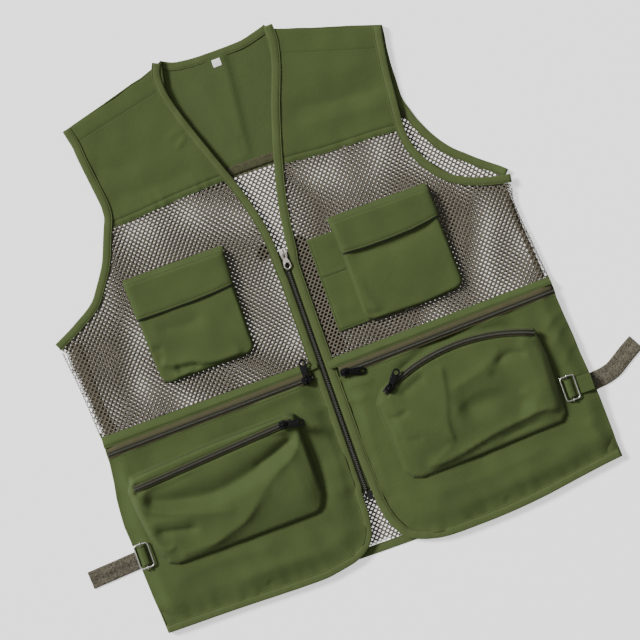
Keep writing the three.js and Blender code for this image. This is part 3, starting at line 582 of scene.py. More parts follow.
# ---------------------------------------------------------------- materials
def material(name, rgb, rough=0.8, metal=0.0, mottle=0.06, cell=28.0, bump=(0.0, 0.0), weave=0.0, weave_mm=0.9, sheen=0.0, coat=0.0,
             speck=0.0, speck_scale=700.0, spec=0.35, dark=None, dark_scale=300.0, dark_amount=0.0, slub=0.0):
    """Procedural finish: base colour with slow mottling, fine speckle, woven or noise relief."""
    mt = bpy.data.materials.new(name)
    mt.use_nodes = True
    t = mt.node_tree
    nd, ln = t.nodes, t.links
    b = nd["Principled BSDF"]
    b.inputs["Metallic"].default_value = metal
    b.inputs["Specular IOR Level"].default_value = spec
    b.inputs["Sheen Weight"].default_value = sheen
    b.inputs["Sheen Roughness"].default_value = 0.5
    b.inputs["Coat Weight"].default_value = coat
    b.inputs["Coat Roughness"].default_value = 0.12
    co = nd.new("ShaderNodeTexCoord")
    base = nd.new("ShaderNodeTexNoise")
    base.inputs["Scale"].default_value = cell
    base.inputs["Detail"].default_value = 4.0
    ln.new(co.outputs["Object"], base.inputs["Vector"])
    ramp = nd.new("ShaderNodeMapRange")
    ramp.inputs["From Min"].default_value = 0.25
    ramp.inputs["From Max"].default_value = 0.75
    ramp.inputs["To Min"].default_value = 1 - mottle
    ramp.inputs["To Max"].default_value = 1 + mottle
    ln.new(base.outputs["Fac"], ramp.inputs["Value"])
    col = nd.new("ShaderNodeVectorMath")
    col.operation = "SCALE"
    col.inputs[0].default_value = rgb
    value = ramp.outputs["Result"]
    if speck:
        sp = nd.new("ShaderNodeTexNoise")
        sp.inputs["Scale"].default_value = speck_scale
        sp.inputs["Detail"].default_value = 3.0
        ln.new(co.outputs["Object"], sp.inputs["Vector"])
        r2 = nd.new("ShaderNodeMapRange")
        r2.inputs["From Min"].default_value = 0.3
        r2.inputs["From Max"].default_value = 0.7
        r2.inputs["To Min"].default_value = 1 - speck
        r2.inputs["To Max"].default_value = 1 + speck
        ln.new(sp.outputs["Fac"], r2.inputs["Value"])
        mul = nd.new("ShaderNodeMath")
        mul.operation = "MULTIPLY"
        ln.new(value, mul.inputs[0])
        ln.new(r2.outputs["Result"], mul.inputs[1])
        value = mul.outputs[0]
    ln.new(value, col.inputs["Scale"])
    colour = col.outputs["Vector"]
    if dark is not None:
        vo = nd.new("ShaderNodeTexVoronoi")
        vo.inputs["Scale"].default_value = dark_scale
        ln.new(co.outputs["Object"], vo.inputs["Vector"])
        r3 = nd.new("ShaderNodeMapRange")
        r3.inputs["From Min"].default_value = 0.15
        r3.inputs["From Max"].default_value = 0.55
        r3.inputs["To Min"].default_value = dark_amount
        r3.inputs["To Max"].default_value = 0.0
        ln.new(vo.outputs["Distance"], r3.inputs["Value"])
        mix = nd.new("ShaderNodeMix")
        mix.data_type = "RGBA"
        ln.new(r3.outputs["Result"], mix.inputs["Factor"])
        ln.new(colour, mix.inputs[6])
        mix.inputs[7].default_value = (*dark, 1)
        colour = mix.outputs[2]
    ln.new(colour, b.inputs["Base Color"])
    r4 = nd.new("ShaderNodeMapRange")
    r4.inputs["To Min"].default_value = max(rough - 0.05, 0.02)
    r4.inputs["To Max"].default_value = min(rough + 0.05, 1.0)
    ln.new(base.outputs["Fac"], r4.inputs["Value"])
    ln.new(r4.outputs["Result"], b.inputs["Roughness"])
    normal = None
    for scale, depth in bump_list(bump):
        nz = nd.new("ShaderNodeTexNoise")
        nz.inputs["Scale"].default_value = scale
        nz.inputs["Detail"].default_value = 3.0
        nz.inputs["Roughness"].default_value = 0.55
        ln.new(co.outputs["Object"], nz.inputs["Vector"])
        bp = nd.new("ShaderNodeBump")
        bp.inputs["Strength"].default_value = 1.0
        bp.inputs["Distance"].default_value = depth / 1000.0
        ln.new(nz.outputs["Fac"], bp.inputs["Height"])
        if normal is not None:
            ln.new(normal, bp.inputs["Normal"])
        normal = bp.outputs["Normal"]
    if weave:
        both = nd.new("ShaderNodeMath")
        both.operation = "MAXIMUM"
        for k, axis in enumerate(("X", "Y")):
            w = nd.new("ShaderNodeTexWave")
            w.bands_direction = axis
            w.inputs["Scale"].default_value = 0.314159 / (weave_mm / 1000.0)
            w.inputs["Distortion"].default_value = 0.6
            w.inputs["Detail"].default_value = 1.0
            ln.new(co.outputs["Object"], w.inputs["Vector"])
            ln.new(w.outputs["Fac"], both.inputs[k])
        bp = nd.new("ShaderNodeBump")
        bp.inputs["Strength"].default_value = 1.0
        bp.inputs["Distance"].default_value = weave / 1000.0
        ln.new(both.outputs[0], bp.inputs["Height"])
        if normal is not None:
            ln.new(normal, bp.inputs["Normal"])
        normal = bp.outputs["Normal"]
    if normal is not None:
        ln.new(normal, b.inputs["Normal"])
    return mt


def bump_list(bump):
    return [bump] if bump and bump[0] and not hasattr(bump[0], "__len__") else ([x for x in bump] if bump and hasattr(bump[0], "__len__") else [])


OLIVE = (0.0585, 0.0820, 0.0262)
M_CLOTH = material("olive_cloth", OLIVE, 0.86, mottle=0.07, bump=((240, 0.10), (60, 0.35)), weave=0.035, weave_mm=0.8, sheen=0.03, speck=0.04, spec=0.14)
M_TRIM = material("olive_binding", (0.0695, 0.0930, 0.0315), 0.84, mottle=0.05, bump=((420, 0.10), (140, 0.25)), weave=0.03, weave_mm=0.8, sheen=0.03, speck=0.05, spec=0.14)
M_INSIDE = material("olive_cloth_inside", (0.057, 0.080, 0.0255), 0.88, mottle=0.05, bump=((240, 0.10), (60, 0.35)), weave=0.035, weave_mm=0.8, spec=0.2, speck=0.04)
# thread painted darker than the cloth: painted shade standing in for the shadow in the stitch grooves
M_THREAD_GROOVE_SHADE = material("olive_thread_painted_groove_shade", (0.030, 0.042, 0.015), 0.7, mottle=0.08, cell=300, bump=(1500, 0.05), spec=0.3)
M_NET = material("taupe_net", (0.112, 0.098, 0.071), 0.78, mottle=0.10, cell=60, bump=(900, 0.12), speck=0.16, speck_scale=900, spec=0.3, sheen=0.05)
M_NETBAND = material("brown_serged_band", (0.060, 0.061, 0.030), 0.9, mottle=0.15, cell=120, bump=((500, 0.35), (180, 0.3)), speck=0.22, speck_scale=420, dark=(0.05, 0.05, 0.026), dark_scale=260, dark_amount=0.7, spec=0.2)
M_SEAMNET = material("dark_net_seam", (0.085, 0.070, 0.046), 0.9, mottle=0.15, cell=120, bump=((500, 0.35), (180, 0.3)), speck=0.2, speck_scale=500, dark=(0.028, 0.024, 0.016), dark_scale=300, dark_amount=0.8, spec=0.2)
M_STRAP = material("folded_net_webbing", (0.108, 0.098, 0.070), 0.88, mottle=0.12, cell=90, bump=((330, 1.6), (900, 0.4)), speck=0.22, speck_scale=600, dark=(0.034, 0.029, 0.020), dark_scale=430, dark_amount=0.85, spec=0.25)
M_TAPE = material("brown_zip_tape", (0.058, 0.0545, 0.0255), 0.85, mottle=0.08, cell=90, bump=((700, 0.12),), weave=0.05, weave_mm=1.3, speck=0.10, spec=0.25)
M_COIL = material("nylon_coil", (0.010, 0.010, 0.008), 0.45, mottle=0.08, cell=200, bump=(1400, 0.02), spec=0.2)
M_COILGREY = material("nylon_coil_olive", (0.062, 0.062, 0.044), 0.45, mottle=0.08, cell=200, bump=(1400, 0.02), spec=0.3)
M_TAPEDARK = material("dark_zip_tape", (0.014, 0.014, 0.010), 0.8, mottle=0.08, cell=120, bump=(900, 0.08), spec=0.25)
M_BLACK = material("black_enamel", (0.0045, 0.0042, 0.005), 0.36, mottle=0.1, cell=200, bump=(600, 0.02), spec=0.12)
M_SILVER = material("plated_zinc", (0.46, 0.43, 0.39), 0.30, metal=1.0, mottle=0.05, cell=300, bump=(700, 0.02))
M_WIRE = material("plated_wire", (0.66, 0.65, 0.61), 0.30, metal=1.0, mottle=0.05, cell=300, bump=(700, 0.015))
M_LABEL = material("white_woven_label", (0.86, 0.86, 0.84), 0.7, mottle=0.02, cell=300, bump=(900, 0.05), weave=0.03, weave_mm=0.6)
M_HOOK = material("hook_and_loop", (0.030, 0.036, 0.020), 0.95, mottle=0.2, cell=500, bump=(1300, 0.3), speck=0.3, speck_scale=1500, spec=0.15)
# real olive inner cloth, coloured near-black: painted shade for the shadow behind the nets
M_INNER_CLOTH_SHADE = material("inner_cloth_painted_shade", (0.010, 0.0105, 0.006), 0.92, mottle=0.2, cell=90, bump=(200, 0.3), spec=0.15)
M_TEETH = material("moulded_teeth", (0.048, 0.047, 0.038), 0.4, mottle=0.08, cell=200, bump=(1400, 0.02), spec=0.3)
# olive zip tape painted darker than the cloth: painted shade beside the main zip's teeth
M_ZIPTAPE_SHADE = material("olive_zip_tape_painted_shade", (0.046, 0.060, 0.023), 0.85, mottle=0.08, cell=120, bump=(900, 0.08), spec=0.15)
# slate colour for the strip under the flaps: partly the real bluish flap edge, partly painted shadow of the gap under
# the flap
M_FLAP_EDGE_SHADOW = material("slate_flap_edge_painted_shadow", (0.050, 0.062, 0.060), 0.8, mottle=0.08, cell=120, bump=(900, 0.08), spec=0.2)
M_FLOOR = material("floor", (0.93, 0.93, 0.93), 0.9, mottle=0.002, cell=2, spec=0.1)

CLOTH = [M_CLOTH, M_THREAD_GROOVE_SHADE]
TRIM = [M_TRIM, M_THREAD_GROOVE_SHADE]


# ---------------------------------------------------------------- fixing pieces to the frame
def root(o, body, slot, *nodes):
    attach(o, body)
    if nodes:
        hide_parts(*nodes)
    return o


def hang(o, side, slot, *nodes):
    """Cloth of a front above the net: its placement is baked into the mesh and the CAD nodes it replaces are hidden."""
    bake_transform(o)
    if nodes:
        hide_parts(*nodes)
    return o


def cloth(o):
    return o


def declare(o):
    cloth(o)


def part(line, test):
    return [list(p) for p in line if test(p[0], p[1])]


# ---------------------------------------------------------------- heights of the layers
def back_top(x, y):
    return 1.1 + waves(x, y, 3, 130, 0.22)


def yoke_top(x, y):
    z = 8.6 + waves(x, y, 11, 150, 0.8) + waves(x, y, 12, 50, 0.3)
    # left: a soft fold across the yoke, and a swelling under it
    z = z + fold(x, y, [(58, 222), (100, 212), (150, 209), (186, 204)], -2.60, 16, 9) + fold(x, y, [(60, 196), (120, 192), (184, 186)], 1.80, 14, 14)
    z = z + fold(x, y, [(70, 262), (120, 246), (180, 236)], 1.40, 18, 18)
    # right: broad fall towards the armhole, small tuck beside the binding
    z = z + fold(x, y, [(-188, 232), (-150, 222), (-110, 228)], -1.60, 22, 16) + fold(x, y, [(-183, 190), (-120, 186), (-60, 190)], -1.60, 12, 14)
    z = z + fold(x, y, [(-64, 231), (-70, 226), (-81, 219)], 1.80, 3.2, 1.6, 0.3) + fold(x, y, [(-60, 240), (-74, 238), (-90, 233)], 0.90, 5, 3)
    z = z + pucker(x, y, R_YOKE_SEAM, 0.6, 15, 10, 3) + pucker(x, y, L_YOKE_SEAM, 0.6, 15, 10, 4)
    return z


def front_top(x, y):
    return 8.5 + waves(x, y, 21, 110, 0.35)


def side_fall(x):
    """The front layer comes down a little towards the side folds."""
    return -1.2 * smooth(262, 288, np.abs(x - 4))


# ================================================================ BACK
rArmYoke, lArmYoke = part(R_ARM, lambda x, y: y > 168), part(L_ARM_BACK, lambda x, y: y > 168)
neck = curved(BACK_NECK, 4)
back_yoke_line = [list(p) for p in neck[:-1]] + L_SHOULDER + lArmYoke[1:] + [[197.4, 165.0], [-188.6, 165.0]] + rArmYoke[1:][::-1] + R_SHOULDER[1:][::-1]


def back_yoke_top(x, y, d=0):
    z = 1.1 + waves(x, y, 5, 120, 0.35)
    z = z + fold(x, y, [(9, 309), (8.2, 285), (5, 250), (1, 215), (-3, 178)], 2.55, 3.2, 17, 0.02, 1.2)
    z = z + fold(x, y, [(-3.5, 206), (-4.4, 178)], -1.05, 2.0, 2.4, 0.02)
    z = z + fold(x, y, [(-52, 300), (-44, 250), (-30, 200)], -0.90, 14, 14) + fold(x, y, [(44, 292), (36, 240), (28, 200)], -1.05, 12, 12)
    z = z + fold(x, y, [(-30, 296), (-22, 250), (-16, 200)], 1.05, 14, 14)
    return np.maximum(z, 0.75)


b = Mesh()
sheet(b, back_yoke_line, back_yoke_top, 0.55, 4.2, rings=(1.2,), m=0, under=lambda x, y, d: np.full(np.shape(x), 0.15),
      seams=[([(-184, 172.2), (0, 172.4), (190, 172.2)], 0.25), ])
o = b.make("back_yoke_cloth", [M_INSIDE, M_THREAD_GROOVE_SHADE])
root(o, "back", "cloth", "back_yoke")
declare(o)

hemTop = shift(BACK_HEM, 8)
back_net_line = [[-188.4, 171]] + part(R_ARM, lambda x, y: y < 168) + part(R_SIDE, lambda x, y: y > -296) + hemTop.tolist() + part(L_SIDE, lambda x, y: y > -282)[::-1] + [[281.6, 60]] + part(L_ARM_BACK, lambda x, y: y < 168)[::-1] + [[197.5, 171]]
WARP = (0.9, 0.7, 210)
o1, a1 = net("back_net_upper", back_net_line, lambda x, y: 1.25 + waves(x, y, 6, 120, 0.15), [M_NET], warp=WARP, turn=0.6, margin=2.7, keep=lambda x, y: y > -70)
root(o1, "back", "net", "back_mesh_panel")
cloth(o1)
o2, a2 = net("back_net_lower", back_net_line, lambda x, y: 1.25 + waves(x, y, 6, 120, 0.15), [M_NET], warp=WARP, turn=0.6, margin=2.7, keep=lambda x, y: y <= -70)
root(o2, "back", "net")
cloth(o2)

b = Mesh()
binding(b, BACK_HEM, 10, lambda x, y: 1.2 + 0 * x, 1, seed=31, h=0.4)
sweep(b, curved(BACK_HEM, 4), [(0, 0.1), (10, 0.1), (10, -0.9), (0, -0.9)], lambda x, y: 1.0 + 0 * x, 0)
root(b.make("back_hem_tape", TRIM), "back", "binding", "back_hem_binding")

b = Mesh()
binding(b, neck[::-1], 9.5, lambda x, y: np.full(np.shape(x), 1.75), 1, groove=(1.4,), seed=32, h=0.55)
root(b.make("back_neck_facing", [M_TRIM, M_THREAD_GROOVE_SHADE]), "back", "binding", "back_neck_binding")

b = Mesh()
binding(b, part(R_ARM, lambda x, y: y < 266 and y > 50), 10, lambda x, y: np.full(np.shape(x), 1.9), 1, seed=33, h=0.5)
root(b.make("right_armhole_tape_back", TRIM), "back", "binding", "right_armhole_binding_back")
b = Mesh()
binding(b, part(L_ARM_BACK, lambda x, y: y < 280), 10, lambda x, y: 2.0 + 4.0 * smooth(90, 64, y) * smooth(262, 280, x), -1, seed=34, h=0.6)
root(b.make("left_armhole_tape_back", TRIM), "back", "binding", "left_armhole_binding_back")

# serged seam between the back yoke and the back net
b = Mesh()
band_line = [(-184, 172.6), (-60, 173.6), (0, 173.6), (60, 173.4), (190, 172.4)]
sweep(b, curved(band_line, 3), [(-6, -0.5), (-6, 0.2), (-3, 0.6), (0, 0.7), (3, 0.6), (5.4, 0.2), (5.4, -0.5)],
      lambda x, y: 1.9 + waves(x, y, 7, 14, 0.2), 0, step=2.6)
stitches(b, [(-184, 175.6), (0, 176.4), (190, 175.4)], lambda x, y: 2.5 + 0 * x, 1, 3.4, 2.4, 0.6, 0.4)
root(b.make("back_serged_seam", [M_NETBAND, M_SEAMNET]), "back", "net")

# size tag: blank
b = Mesh()
sheet(b, [[-6, 295.2], [4.2, 295.6], [3.9, 304.6], [-6.2, 304.2]], lambda x, y, d: 3.0 + 0.35 * np.sin((y - 295) / 3.2), 0.3, 1.2, rings=(0.5,), rim=0.1)
root(b.make("size_tag", [M_LABEL]), "back", "label", "size_label")


# ================================================================ SIDES
def side_fold(side, line, sign):
    """The net that turns from the back round to the front, bulging outwards."""
    fall = curved(line, 3)
    low, up = 1.0, 7.6

    def bend(V):
        # V: x = distance round the fold (0 at the back), y = along, z = thickness
        u = np.clip(V[:, 0] / 9.5, 0, 1)
        a = -math.pi / 2 + u * math.pi
        r = (up - low) / 2
        yy = V[:, 1]
        xs = np.interp(yy, fall[::-1, 1], fall[::-1, 0])
        out = (r * 0.62 + 0.25 + V[:, 2]) * np.cos(a)
        return np.column_stack([xs - sign * (1.0 - out) * 1.0 if False else xs + sign * (-0.8 + out), yy, low + r + (r + V[:, 2]) * np.sin(a)])
    y1 = max(p[1] for p in line)
    y0 = min(p[1] for p in line)
    return bend, y0, y1


for side, line, sign in (("right", R_SIDE, -1), ("left", L_SIDE, 1)):
    bend, y0, y1 = side_fold(side, line, sign)
    rect = [[0, -68], [9.5, -68], [9.5, y1 - 4], [0, y1 - 4]]
    o, a = net(side + "_side_net_fold", rect, lambda x, y: 0 * x, [M_NET], fn=bend, th=0.7)
    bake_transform(o)
    # below the net the front's cloth turns round to the back
    b = Mesh()
    p = resample(part(line, lambda x, y: y < -66), 4)
    if p[0][1] < p[-1][1]:
        p = p[::-1]
    s = -1 if side == "right" else 1
    prof = []
    for k in range(9):
        a = -math.pi / 2 + math.pi * k / 8
        prof.append((math.cos(a) * 2.0 - 0.9, 4.6 + math.sin(a) * 3.9))
    for k in reversed(range(9)):
        a = -math.pi / 2 + math.pi * k / 8
        prof.append((math.cos(a) * 1.4 - 0.9, 4.6 + math.sin(a) * 3.3))
    # the line runs down the vest: its left is +X
    sweep(b, p, [(a * s, c) for a, c in prof], lambda x, y: waves(x, y, 41, 30, 0.18), 0, step=4)
    o = b.make(side + "_side_cloth_fold", CLOTH)
    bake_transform(o)
    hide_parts(side + "_side_seam")

# seam allowance seen through the net at each side
b = Mesh()
sweep(b, [(-268.8, 42), (-268.4, -20), (-264, -72)], [(-6, -0.3), (-6, 0.3), (0, 0.6), (6, 0.3), (6, -0.3)], lambda x, y: 2.9 + waves(x, y, 8, 20, 0.2), 0, step=3)
root(b.make("right_side_seam_allowance", [M_SEAMNET]), "back", "net")
b = Mesh()
sweep(b, [(270.5, 44), (272.2, 0), (277.5, -68)], [(-3, -0.3), (-3, 0.3), (0, 0.6), (3, 0.3), (3, -0.3)], lambda x, y: 2.9 + waves(x, y, 9, 20, 0.2), 0, step=3)
root(b.make("left_side_seam_allowance", [M_SEAMNET]), "back", "net")


# ================================================================ SHOULDERS AND YOKES
def wrap(b, line, s, z0=0.5, z1=8.6, bulge=1.5, inset=1.2):
    """Cloth folded over the shoulder, from the back layer up to the front."""
    prof, mid, r = [], (z0 + z1) / 2, (z1 - z0) / 2
    for k in range(10):
        a = -math.pi / 2 + math.pi * k / 9
        prof.append((inset - math.cos(a) * bulge, math.sin(a) * r))
    for k in reversed(range(10)):
        a = -math.pi / 2 + math.pi * k / 9
        prof.append((inset - math.cos(a) * (bulge - 0.6), math.sin(a) * (r - 0.6)))
    sweep(b, line, [(a * s, c) for a, c in prof], lambda x, y: mid + 0 * x, 0, step=4)


def shoulder_top(x, y, d=0):
    z = yoke_top(x, y)
    return z - 1.0 * np.exp(-np.asarray(d) / 1.6) if np.ndim(d) else z


b = Mesh()
shoulder_r = R_SHOULDER + [[-195.3, 265]] + [list(p) for p in R_SHOULDER_SEAM[1:]]
sheet(b, shoulder_r, lambda x, y, d: yoke_top(x, y) + 0.35 - 0.8 * np.exp(-d / 1.2), 0.6, 3.4, rings=(1.0,), under=lambda x, y, d: yoke_top(x, y) - 0.5,
      seams=[(shift(R_SHOULDER_SEAM, -2.4), 0.25), (shift(R_SHOULDER_SEAM, -8.6), 0.22)])
wrap(b, curved(R_SHOULDER, 3), 1)
o = b.make("right_shoulder_band", CLOTH)
hang(o, "right", "cloth", "right_shoulder_yoke")
b = Mesh()
shoulder_l = L_SHOULDER[:-1] + [[196.2, 276.6], [192.5, 251]] + [list(p) for p in L_SHOULDER_SEAM[1:]]
sheet(b, shoulder_l, lambda x, y, d: yoke_top(x, y) + 0.35 - 0.8 * np.exp(-d / 1.2), 0.6, 3.4, rings=(1.0,), under=lambda x, y, d: yoke_top(x, y) - 0.5,
      seams=[(shift(L_SHOULDER_SEAM, 2.4), 0.25), (shift(L_SHOULDER_SEAM, 14), 0.25), (shift(L_SHOULDER_SEAM, 17), 0.22)])
wrap(b, curved(L_SHOULDER, 3), -1)
o = b.make("left_shoulder_band", CLOTH)
hang(o, "left", "cloth", "left_shoulder_yoke")

yoke_r = [list(p) for p in R_SHOULDER_SEAM][::-1] + part(R_ARM, lambda x, y: 157 < y < 262) + [[p[0], p[1]] for p in R_YOKE_SEAM] + part(R_EDGE, lambda x, y: 168 < y < 290)
yoke_l = [list(p) for p in L_SHOULDER_SEAM][::-1] + part(L_ARM_FRONT, lambda x, y: 153 < y < 250) + [[p[0], p[1]] for p in L_YOKE_SEAM] + part(L_EDGE, lambda x, y: 162 < y < 284)
b = Mesh()
sheet(b, yoke_r, lambda x, y, d: yoke_top(x, y), 0.6, 3.4, rings=(1.0,), seams=[(shift(R_YOKE_SEAM, 7.8), 0.35), (shift(R_YOKE_SEAM, 1.6), 0.18), (shift(R_SHOULDER_SEAM, 2.6), 0.3, False)])
o = b.make("right_yoke", CLOTH)
hang(o, "right", "cloth", "right_front_yoke")
declare(o)
b = Mesh()
sheet(b, yoke_l, lambda x, y, d: yoke_top(x, y), 0.6, 3.4, rings=(1.0,), seams=[(shift(L_YOKE_SEAM, -7.8), 0.35), (shift(L_YOKE_SEAM, -1.6), 0.18), (shift(L_SHOULDER_SEAM, -2.6), 0.3, False)])
o = b.make("left_yoke", CLOTH)
hang(o, "left", "cloth", "left_front_yoke")
declare(o)


# ================================================================ FRONT NETS
def net_top(x, y):
    return 8.2 + waves(x, y, 51, 120, 0.3) + side_fall(x)


right_net_line = [[-190, 160]] + part(R_ARM, lambda x, y: y < 152)[0:-1] + [[-285, 46]] + part(R_SIDE, lambda x, y: -69 < y < 36) + [[-276.8, -77], [-8.5, -75]] + part(R_EDGE, lambda x, y: -69 < y < 164) + [[-28, 170], [-100, 166.5]]
left_net_line = [[181, 156]] + part(L_ARM_FRONT, lambda x, y: y < 149) + part(L_SIDE, lambda x, y: y > -67.5) + [[283.3, -74], [4.5, -79]] + part(L_EDGE, lambda x, y: -69 < y < 159) + [[24, 165], [100, 160]]
oR, aR = net("right_front_net", right_net_line, net_top, [M_NET], hole=0.57, turn=-0.9, size=1.008, off=(1.1, 0.9), warp=(1.7, 1.5, 150), margin=2.7)
root(oR, "right_front", "net", "right_mesh_panel")
cloth(oR)
oL, aL = net("left_front_net", left_net_line, net_top, [M_NET], hole=0.53, turn=1.3, size=0.99, off=(-0.7, 1.3), warp=(1.6, 1.7, 140), margin=2.7)
root(oL, "left_front", "net", "left_mesh_panel")
cloth(oL)

# cloth behind the nets, coloured near-black as painted shade for the shadow it lies in: the inner strip beside the left
# front edge, a zip end behind the right net
b = Mesh()
strip = [[11.5, 76], [27, 74], [30, 60], [30.5, -70], [11.5, -72]]
sheet(b, strip, lambda x, y, d: 6.6 + waves(x, y, 55, 40, 0.2), 0.5, 5)
root(b.make("left_inner_strip", [M_INNER_CLOTH_SHADE]), "left_front", "cloth")
b = Mesh()
sheet(b, [[-33, 70], [-28, 78], [-18, 78], [-14, 70], [-16, 61], [-28, 60]], lambda x, y, d: 6.6 + 0 * x, 0.5, 3)
root(b.make("right_zip_end_fold", [M_INNER_CLOTH_SHADE]), "right_front", "cloth")


# ================================================================ LOWER POCKETS
R_HEMEDGE = curved(R_HEM, 4, 50).tolist() + part(R_EDGE, lambda x, y: -225 < y < -60 or y == 34)[:0]
R_DOWN = R_HEM + [[-6.9, -160], [-6.9, -92]]
L_DOWN = L_HEM + [[2.9, -160], [2.9, -98]]


def panel_top(x, y, side):
    hem = R_DOWN if side == "right" else L_DOWN
    sd = R_SIDE if side == "right" else L_SIDE
    dh, _, _ = near(hem, x, y)
    ds, _, _ = near(sd, x, y)
    z = 14.0 - 4.7 * (1 - smooth(9, 36, dh)) - 5.2 * (1 - smooth(0, 20, ds)) * smooth(-60, -110, y)
    z = z + waves(x, y, 61 if side == "right" else 62, 95, 0.9) + waves(x, y, 63, 34, 0.32)
    z = z + pucker(x, y, shift(hem, 9.6 if side == "right" else -9.6), 0.45, 21, 12, 5)
    if side == "right":
        z = z + fold(x, y, [(-262, -262), (-190, -256), (-110, -262)], 1.62, 14, 10) + fold(x, y, [(-200, -290), (-120, -284), (-50, -290)], 1.26, 9, 12)
        z = z + fold(x, y, [(-40, -112), (-27, -150), (-25, -200), (-30, -250)], 2.34, 11, 9) + fold(x, y, [(-46, -110), (-38, -122), (-18, -130)], 1.26, 4, 6)
        z = z + fold(x, y, [(-20, -97), (-60, -100), (-120, -104)], 1.44, 5, 9) + fold(x, y, [(-270, -105), (-262, -150), (-266, -215)], 1.08, 7, 7)
        z = z + fold(x, y, [(-147, -306), (-146, -298)], -1.80, 3, 3)
        z = z + dent(x, y, -46, -180, 9, 60, -0.9)
    else:
        z = z + fold(x, y, [(66, -122), (116, -102), (162, -99), (210, -106), (240, -118)], -3.0, 5, 6, 0.15)
        z = z + fold(x, y, [(52, -262), (130, -266), (240, -254)], 1.62, 12, 12) + fold(x, y, [(70, -292), (170, -286), (280, -276)], 1.44, 12, 9)
        z = z + fold(x, y, [(18, -104), (26, -140), (22, -190), (24, -250)], 2.16, 8, 10) + fold(x, y, [(12, -112), (30, -112), (50, -116)], 1.44, 4, 5)
        z = z + fold(x, y, [(8, -128), (26, -131), (38, -128)], 1.26, 4, 4) + fold(x, y, [(44, -102), (110, -106), (210, -98)], 1.44, 5, 8)
        z = z + fold(x, y, [(288, -113), (270, -118), (256, -132)], 1.44, 4, 5) + fold(x, y, [(289, -128), (274, -134), (264, -150)], 1.44, 4, 6)
        z = z + fold(x, y, [(291, -150), (276, -160), (266, -176)], 1.08, 5, 6) + fold(x, y, [(268, -240), (276, -262), (290, -284)], 1.62, 8, 6)
        z = z + fold(x, y, [(150, -308), (151, -297)], -1.80, 3, 3) + dent(x, y, 36, -185, 8, 60, -0.8)
    return z


def lip(y_line, x, y):
    """A turned edge: returns no rise (0)."""
    return 0


for side in ("right", "left"):
    if side == "right":
        zl, sgn = R_ZIP, 1
        upper = [[-8.5, -71.0], [-8.5, -79.6], [-17.6, -80.2], [-275.8, -86.2], [-277, -86.4], [-276.4, -72.4]]
        panel = [[-8.6, -92.0], [-17.6, -92.4], [-276.6, -98.4]] + part(R_SIDE, lambda x, y: y < -103)[:-1] + shift(R_DOWN, 6.5).tolist()[:-1]
        bag = [[-276.4, -74]] + part(R_SIDE, lambda x, y: y < -76)[:-1] + shift(R_DOWN, 2.5).tolist()[:-1] + [[-9, -72]]
    else:
        zl, sgn = L_ZIP, -1
        upper = [[4.4, -75.0], [4.4, -86.4], [13.8, -86.6], [283.2, -78.4], [284.4, -78.4], [283.4, -69.6]]
        panel = [[4.4, -98.8], [13.8, -99.0], [284.0, -90.6]] + part(L_SIDE, lambda x, y: y < -94)[:-1] + shift(L_DOWN, -6.5).tolist()[:-1]
        bag = [[283.4, -72]] + part(L_SIDE, lambda x, y: y < -76)[:-1] + shift(L_DOWN, -2.5).tolist()[:-1] + [[5, -76]]
    up_edge = [[zl[0][0], zl[0][1] + 8.4], [zl[1][0], zl[1][1] + 8.4]] if side == "right" else [[zl[0][0], zl[0][1] + 8.4], [zl[1][0], zl[1][1] + 8.4]]
    top_edge = [upper[0], upper[-1]]

    def strip_top(x, y, d, top_edge=top_edge, side=side):
        s, _, _ = near(top_edge, x, y)
        return 9.6 + 4.3 * smooth(0.0, 8.5, s) + waves(x, y, 64, 26, 0.22) - 1.2 * (1 - smooth(0, 14, 284 - np.abs(x - 4))) - 0.35 * np.exp(-d / 0.8)
    b = Mesh()
    sheet(b, upper, strip_top, 0.6, 2.6, rings=(0.9,), seams=[([[zl[0][0], zl[0][1] + 10.4], [zl[1][0], zl[1][1] + 10.4]], 0.3)])
    o = b.make(side + "_pocket_top_strip", CLOTH)
    root(o, side + "_front", "cloth")
    b = Mesh()
    sheet(b, bag, lambda x, y, d: 7.9 + 0 * x, 0.5, 9, m=0)
    o = b.make(side + "_pocket_lining", [M_INSIDE, M_THREAD_GROOVE_SHADE])
    root(o, side + "_front", "cloth", side + "_pocket_bag")
    declare(o)
    low = [[zl[0][0] - 1, zl[0][1] - 3.8], [zl[1][0] + 1, zl[1][1] - 3.8]]

    def ptop(x, y, d, side=side, low=low):
        s, _, _ = near(low, x, y)
        return panel_top(x, y, side) + 0.7 * np.exp(-((s - 2.2) / 1.8) ** 2) - 0.9 * np.exp(-s / 0.7)
    b = Mesh()
    seam = [[zl[0][0] + 1, zl[0][1] - 6.2], [zl[1][0] - 1, zl[1][1] - 6.2]]
    sheet(b, panel, ptop, 0.6, 3.3, rings=(1.0, 2.4), seams=[(seam, 0.3)])
    o = b.make(side + "_lower_pocket_panel", CLOTH)
    root(o, side + "_front", "cloth", side + "_lower_panel")
    declare(o)


